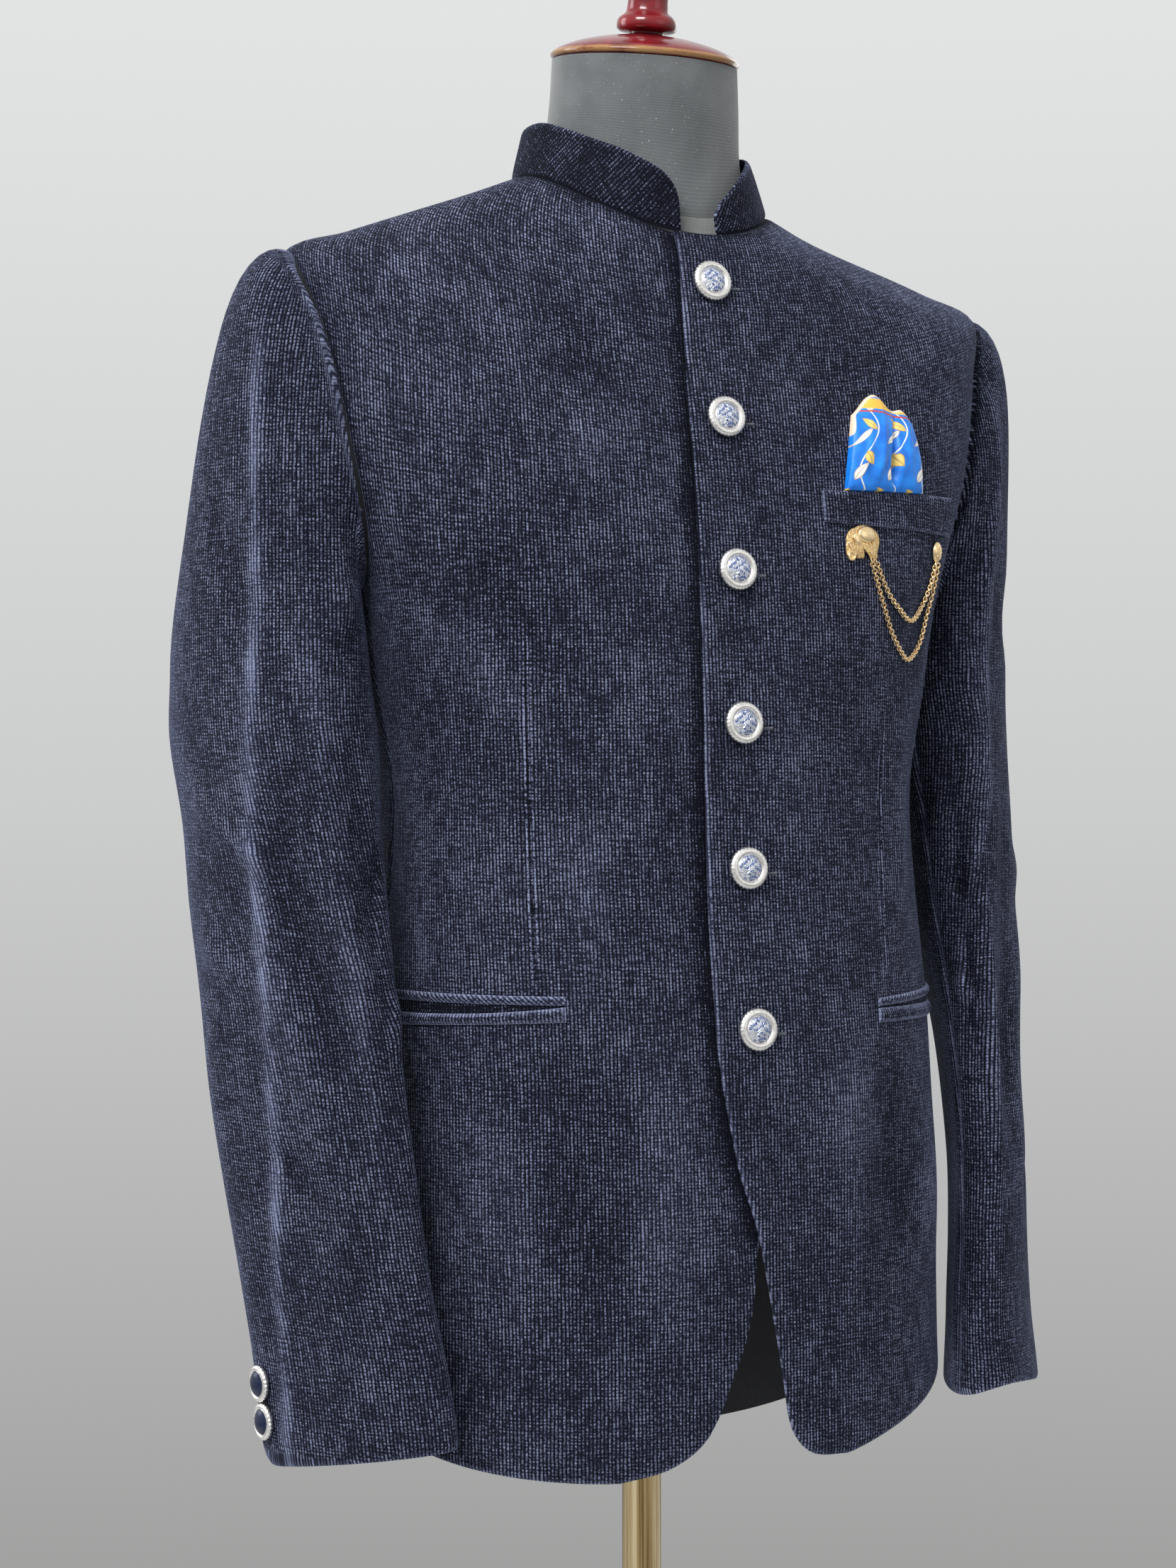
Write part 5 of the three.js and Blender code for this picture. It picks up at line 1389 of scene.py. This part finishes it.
def smoothOutline(outline, parts=3):
    points = np.array(outline, float)
    made = []
    for i in range(len(points)):
        a, b, c, d = (points[(i + k) % len(points)] for k in (-1, 0, 1, 2))
        for t in np.arange(parts) / parts:
            bend, twist = 2 * a - 5 * b + 4 * c - d, 3 * b - a - 3 * c + d
            made.append(0.5 * (2 * b + (c - a) * t + bend * t**2 + twist * t**3))
    return made


def ringOf(radius, wire, centre, tall=1.0, parts=20, sides=8):
    a, b = np.meshgrid(fullTurn(parts), fullTurn(sides), indexing="ij")
    x = centre[0] + (radius + wire * np.cos(b)) * np.cos(a)
    y = centre[1] + (radius * tall + wire * np.cos(b)) * np.sin(a)
    z = centre[2] + wire * np.sin(b)
    i, j = np.meshgrid(np.arange(parts), np.arange(sides), indexing="ij")
    n = (i + 1) % parts
    m = (j + 1) % sides
    faces = np.stack([i * sides + j, n * sides + j, n * sides + m, i * sides + m], -1).reshape(-1, 4)
    return np.stack([x, y, z], -1).reshape(-1, 3), [list(face) for face in faces]


def blob(centre, radii, tilt=0.0, rings=10, sides=24):
    up = np.linspace(0.02, 0.98, rings) * math.pi
    a, b = np.meshgrid(up, fullTurn(sides), indexing="ij")
    x, y, z = radii[0] * np.sin(a) * np.cos(b), radii[1] * np.sin(a) * np.sin(b), radii[2] * np.cos(a)
    c, s = math.cos(tilt), math.sin(tilt)
    points = np.stack([centre[0] + x * c - y * s, centre[1] + x * s + y * c, centre[2] + z], -1).reshape(-1, 3)
    return points, closedFaces(rings, sides)


def joinParts(parts):
    # parts as (points, faces, material index)
    points, faces, kinds, start = [], [], [], 0
    for some, theirs, kind in parts:
        points.append(some)
        faces += [[start + i for i in face] for face in theirs]
        kinds += [kind] * len(theirs)
        start += len(some)
    return np.concatenate(points), faces, kinds


def addElephant():
    hide = hideMaterial()
    parts = [
        (*pillow(smoothOutline(elephantOutline), 7, -0.4, 2.6), 1),
        (*blob((1.6, 4.6, 2.5), (6.4, 5.0, 1.9)), 0),
        (*blob((-5.6, 1.6, 2.3), (2.6, 3.9, 1.1), 0.25), 0),
        (*blob((-9.5, 2.4, 2.5), (0.75, 0.75, 0.6)), 0),
        (*ringOf(2.3, 0.8, (-10.2, -8.3, 1.6)), 0),
        (*ringOf(1.2, 0.35, (5.6, -9.6, 1.4)), 0),
        (*blob((-11.6, -2.5, 2.1), (0.5, 2.2, 0.5), 0.35), 0),
    ]
    for k in range(9):
        angle = math.pi * (0.05 + 0.9 * k / 8)
        bead = (1.6 + 6.7 * math.cos(angle), 4.2 - 5.4 * math.sin(angle), 2.3)
        parts.append((*blob(bead, (0.62, 0.62, 0.6), 0, 6, 10), 0))
    points, faces, kinds = joinParts(parts)
    seat = onFront(float(brooch["x"]), float(brooch["z"]), brooch["headLift"])
    piece = makeMesh("brooch_elephant", seatAt(points, *seat), faces, [gold, hide], kinds)
    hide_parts("brooch_elephant")


def addStud():
    parts = [
        (*blob((0, 0, 1.6), (4.6, 6.0, 1.9)), 0),
        (*ringOf(4.4, 0.7, (0, 0, 1.2), 1.28, 40), 0),
    ]
    for k in range(10):
        angle = 2 * math.pi * k / 10
        parts.append((*blob((2.9 * math.cos(angle), 4.0 * math.sin(angle), 2.9), (0.6, 0.6, 0.5), 0, 6, 10), 0))
    points, faces, kinds = joinParts(parts)
    seat = onFront(brooch["studX"], float(brooch["studZ"]), brooch["studLift"])
    piece = makeMesh("brooch_stud", seatAt(points, *seat), faces, [gold], kinds)
    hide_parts("brooch_stud")


def smoothRoute(route):
    points = np.array(route, float)
    knots = np.concatenate([[0], np.cumsum(np.linalg.norm(np.diff(points, axis=0), axis=1) ** 0.5)])
    rows = {"at": knots, "x": points[:, 0], "z": points[:, 1]}
    t = np.linspace(0, knots[-1], 400)
    return readTable(rows, "x", t), readTable(rows, "z", t)


def addChain(name, route):
    x, z = smoothRoute(route)
    line, normals = onFront(x, z, brooch["chainLift"])
    run = runAlong(line)
    count = int(run[-1] / (brooch["link"] * 0.66))
    half = brooch["link"] / 2
    shape, faces = ringOf(half, brooch["wire"], (0, 0, 0), brooch["linkWide"] / half, 12, 6)

    def along(rows, s):
        return np.array([np.interp(s, run, rows[:, i]) for i in range(3)])

    parts = []
    for k in range(count + 1):
        s = min(run[-1], k * run[-1] / count)
        centre = along(line, s)
        ahead = unit(along(line, min(s + 1, run[-1])) - along(line, max(s - 1, 0)))
        across = unit(np.cross(along(normals, s), ahead))
        out = np.cross(ahead, across)
        twist = math.radians(brooch["linkTurn"] if k % 2 else -brooch["linkTurn"])
        wide = across * math.cos(twist) + out * math.sin(twist)
        deep = np.cross(ahead, wide)
        parts.append((centre + shape[:, :1] * ahead + shape[:, 1:2] * wide + shape[:, 2:3] * deep, faces, 0))
    points, faces, kinds = joinParts(parts)
    piece = makeMesh(name, points, faces, [gold], kinds)
    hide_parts(name)
    print(name, "links", count + 1, "length", round(run[-1]), "mm")


addElephant()
addStud()
addChain("brooch_chain_short", shortChain)
addChain("brooch_chain_long", longChain)
print("brooch made")


# The dress form under the jacket, its neck, cap, pole and base
form = {"body": 4, "shoulder": 0.9, "frontBlade": 0.5, "backBlade": 3.2, "bottom": 872, "bottomTuck": 12,
        "neckTuck": 1, "sides": 96, "neckTopY": -4, "neckTopZ": 1556.5, "tilt": 8}
neckRings = table(
    "i half front back midY sideZ frontZ backZ roll follow",
    (0, 64, 67, 61, 3, 1484, 1455, 1497, 1.8, 1),
    (1, 59, 59.5, 58.5, 0, 1503, 1488, 1514, 1.5, 0.6),
    (2, 57, 57, 57, -3, 1530, 1523, 1537, 1, 0),
    (3, 56, 55, 55, -4, 1556.5, 1549, 1564, 1, 0),
)


def formInset(angle, at):
    upward = (at - levels["underarm"]) / (levels["tip"] - levels["underarm"])
    loose = blendTo(form["body"], form["shoulder"], ease(upward))
    x = np.abs(bodyPoint(angle, at)[..., 0])
    forward = np.cos(angle) > 0
    lap = np.where(forward, (cloth["wall"] + cloth["lapGap"]) * (1 - ease((x - 34) / 30)), 0)
    away = np.abs(np.sin(2 * angle)) ** 0.3
    return cloth["wall"] + loose + lap + away * np.where(forward, form["frontBlade"], form["backBlade"])


def addLoft(name, rings, materials, edge=None):
    # a closed solid through rings of points, the join of its cloth at the back
    rows, sides = rings.shape[:2]
    rings = np.roll(rings, sides // 2, axis=1)
    faces = closedFaces(rows, sides)
    closed = np.concatenate([rings, rings[:, :1]], axis=1)
    u, v, _ = edgeDistances(closed)
    grain = np.stack([u[:, :-1], np.repeat(v[:, :1], sides, axis=1)], -1).reshape(-1, 2) * mm
    piece = makeMesh(name, rings.reshape(-1, 3), faces, materials, None, {"grain": grain}, edge)
    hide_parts(name)
    return piece


def neckRing(step, up):
    ring = {key: float(readTable(neckRings, key, step, "i")) for key in neckRings if key != "i"}
    angle = fullTurn(form["sides"])
    forward = np.cos(angle) > 0
    y = ring["midY"] - np.cos(angle) * np.where(forward, ring["front"], ring["back"])
    rise = np.abs(np.cos(angle)) ** ring["roll"]
    z = blendTo(ring["sideZ"], np.where(forward, ring["frontZ"], ring["backZ"]), rise)
    p = np.stack([np.sin(angle) * ring["half"], y, z], -1)
    lower = settled(p)[:, 2] - z
    p[:, 2] = z + up + lower * ring["follow"]
    return p


def addForm():
    at = np.concatenate([finer(formLevels, 2)[:-1], armLevels()[::2], finer(neckLevels, 2)[1:]])
    quarter = form["sides"] // 4
    shares = np.linspace(0, 1, quarter + 1)
    front = evenAngles(0 * at, quarterTurn + 0 * at, at, shares)
    back = evenAngles(quarterTurn + 0 * at, math.pi + 0 * at, at, shares)
    half = np.concatenate([front, back[:, 1:]], axis=1)
    angle = np.concatenate([half, 2 * math.pi - half[:, -2:0:-1]], axis=1)
    level = np.repeat(at[:, None], angle.shape[1], axis=1)
    tuck = np.where(level == levels["neck"], form["neckTuck"], 0)
    tuck = np.where(level == form["bottom"], form["bottomTuck"], tuck)
    rings = offBody(angle, level, -formInset(angle, level) - tuck)
    rings[0, :, 2] = form["bottom"]
    rings = np.concatenate([settled(rings), neckRing(0, 0)[None]])
    cover = ribMaterial("form_cover", (0.08, 0.086, 0.084), (0.19, 0.2, 0.195), 1.4)
    addLoft("form_torso", rings, [cover])
    ribbed = ribMaterial("form_rib", (0.05, 0.056, 0.06), (0.15, 0.16, 0.165), 1.25)
    steps = np.concatenate([[0, 0.02], np.linspace(0.1, 2.9, 22), [2.98, 3]])
    addLoft("form_neck", np.array([neckRing(step, cloth["seamGap"]) for step in steps]), [ribbed])


capProfile = [
    (4, 0), (30, 0), (53.4, 0), (54.6, 0.2), (55.8, 0.8), (56.6, 1.6), (57, 2.6), (56.8, 3.4), (56, 4.4), (53.4, 6.2),
    (50, 8.0), (44, 10.4), (38, 12.2), (30, 14.2), (22, 15.6), (15, 16.4), (11.4, 17), (10.4, 17.9), (10.6, 18.8),
    (13.4, 19.1), (16.4, 19.7), (18, 21), (18.3, 23.2), (18, 25.6), (17.2, 27.2), (15.2, 28.8), (13.4, 30.2),
    (12.7, 32.6), (12.3, 37), (12.4, 42), (13.4, 45.4), (15, 48), (17.2, 51), (19, 54), (20.2, 58), (20.5, 62),
    (19.8, 66.4), (18, 70), (15.2, 73.4), (11, 76), (6.4, 77.6), (3, 78),
]


def addLathe(name, profile, sides, material, move, edge=None):
    rings = turnedParts([(radius, height, 0) for radius, height in profile], sides)
    return addLoft(name, move(rings), [material], edge)


def tiltCap(points):
    c, s = math.cos(math.radians(form["tilt"])), math.sin(math.radians(form["tilt"]))
    y, z = points[..., 1] * c - points[..., 2] * s, points[..., 1] * s + points[..., 2] * c
    return np.stack([points[..., 0], y + form["neckTopY"], z + form["neckTopZ"] + 2 * cloth["seamGap"]], -1)


baseProfile = [
    (20, 0), (120, 0), (173, 0), (174.6, 0.8), (175, 2), (175, 4), (174.4, 5.6), (172.6, 6.6), (168, 7.4), (130, 8.6),
    (80, 10), (48, 11.2), (38, 12.2), (31, 13.6), (26.8, 15.8), (24.4, 20), (22.4, 28), (20.8, 36), (19.6, 42),
    (18.8, 44.6), (17, 46), (8, 46),
]


def addStand():
    foot, head = 46.3, form["bottom"] - 0.3
    tube = [(12, foot), (12, foot + 2), (11.7, foot + 3), (11.7, head - 60), (12, head - 59), (12, head)]
    addLathe("stand_pole", [(6, foot), *tube, (6, head)], 64, brass, lambda p: p)
    addLathe("stand_base", baseProfile, 128, brass, lambda p: p)
    wearAndPaintedLight = np.array([max(0.0, 1 - abs(radius - 56.4) / 2.2) if height < 4.5 else 0.0
                     for radius, height in capProfile])
    addLathe("neck_cap", capProfile, 96, lacquerMaterial(), tiltCap, np.repeat(wearAndPaintedLight, 96))


addForm()
addStand()
print("form and stand made")


# A pale studio: a round floor, an even sky and large soft lights
studio = {
    "floorRadius": 2.2, "skyLow": (0.3, 0.3, 0.295), "skyLevel": (0.6, 0.605, 0.605), "skyHigh": (0.78, 0.785, 0.79),
}
# place, target, size in metres and power in watts
lamps = {
    "top_left": ((-1.4, -1.1, 2.8), (0, 0, 1.38), (1.1, 0.8), 56),
    "front_right": ((1.1, -2.3, 1.9), (0, 0, 1.1), (1.2, 1.4), 3),
    "rear_left": ((-1.5, 1.2, 1.9), (0, 0, 1.2), (0.8, 1.6), 16),
    "rear_right": ((1.6, 1.1, 1.8), (0, 0, 1.15), (0.8, 1.6), 6),
}


def addFloor():
    turn = fullTurn(96)
    across, along = np.cos(turn) * studio["floorRadius"], np.sin(turn) * studio["floorRadius"]
    points = np.stack([across, along, 0 * turn - 0.0005], -1)
    mesh = bpy.data.meshes.new("floor")
    mesh.from_pydata(points.tolist(), [], [list(range(96))])
    material, tree, shader = newMaterial("floor_paint", Roughness=0.8)
    tone = noiseOf(tree, placeOf(tree), 3.0, 3.0)
    paint = colourBy(tree, tone, (0.3, (0.5, 0.51, 0.51)), (0.7, (0.54, 0.55, 0.55)))
    plug(tree, shader.inputs["Base Color"], paint)
    mesh.materials.append(material)
    floor = bpy.data.objects.new("floor", mesh)
    bpy.context.scene.collection.objects.link(floor)


def addLight(name, place, target, size, power):
    data = bpy.data.lights.new(name, "AREA")
    data.shape = "RECTANGLE"
    data.size, data.size_y = size
    data.energy = power
    lamp = bpy.data.objects.new(name, data)
    bpy.context.scene.collection.objects.link(lamp)
    lamp.location = place
    lamp.rotation_euler = (Vector(target) - Vector(place)).to_track_quat("-Z", "Y").to_euler()


def addStudio():
    world = bpy.data.worlds.new("sky")
    bpy.context.scene.world = world
    world.use_nodes = True
    tree = world.node_tree
    up = axesOf(tree, node(tree, "ShaderNodeTexCoord", "Generated"))[2]
    sky = colourBy(tree, up + 0.5, (0.2, studio["skyLow"]), (0.5, studio["skyLevel"]), (0.78, studio["skyHigh"]))
    plug(tree, tree.nodes["Background"].inputs[0], sky)
    addFloor()
    for name, settings in lamps.items():
        addLight(name, *settings)
    bpy.context.scene.view_settings.view_transform = "Standard"


addStudio()
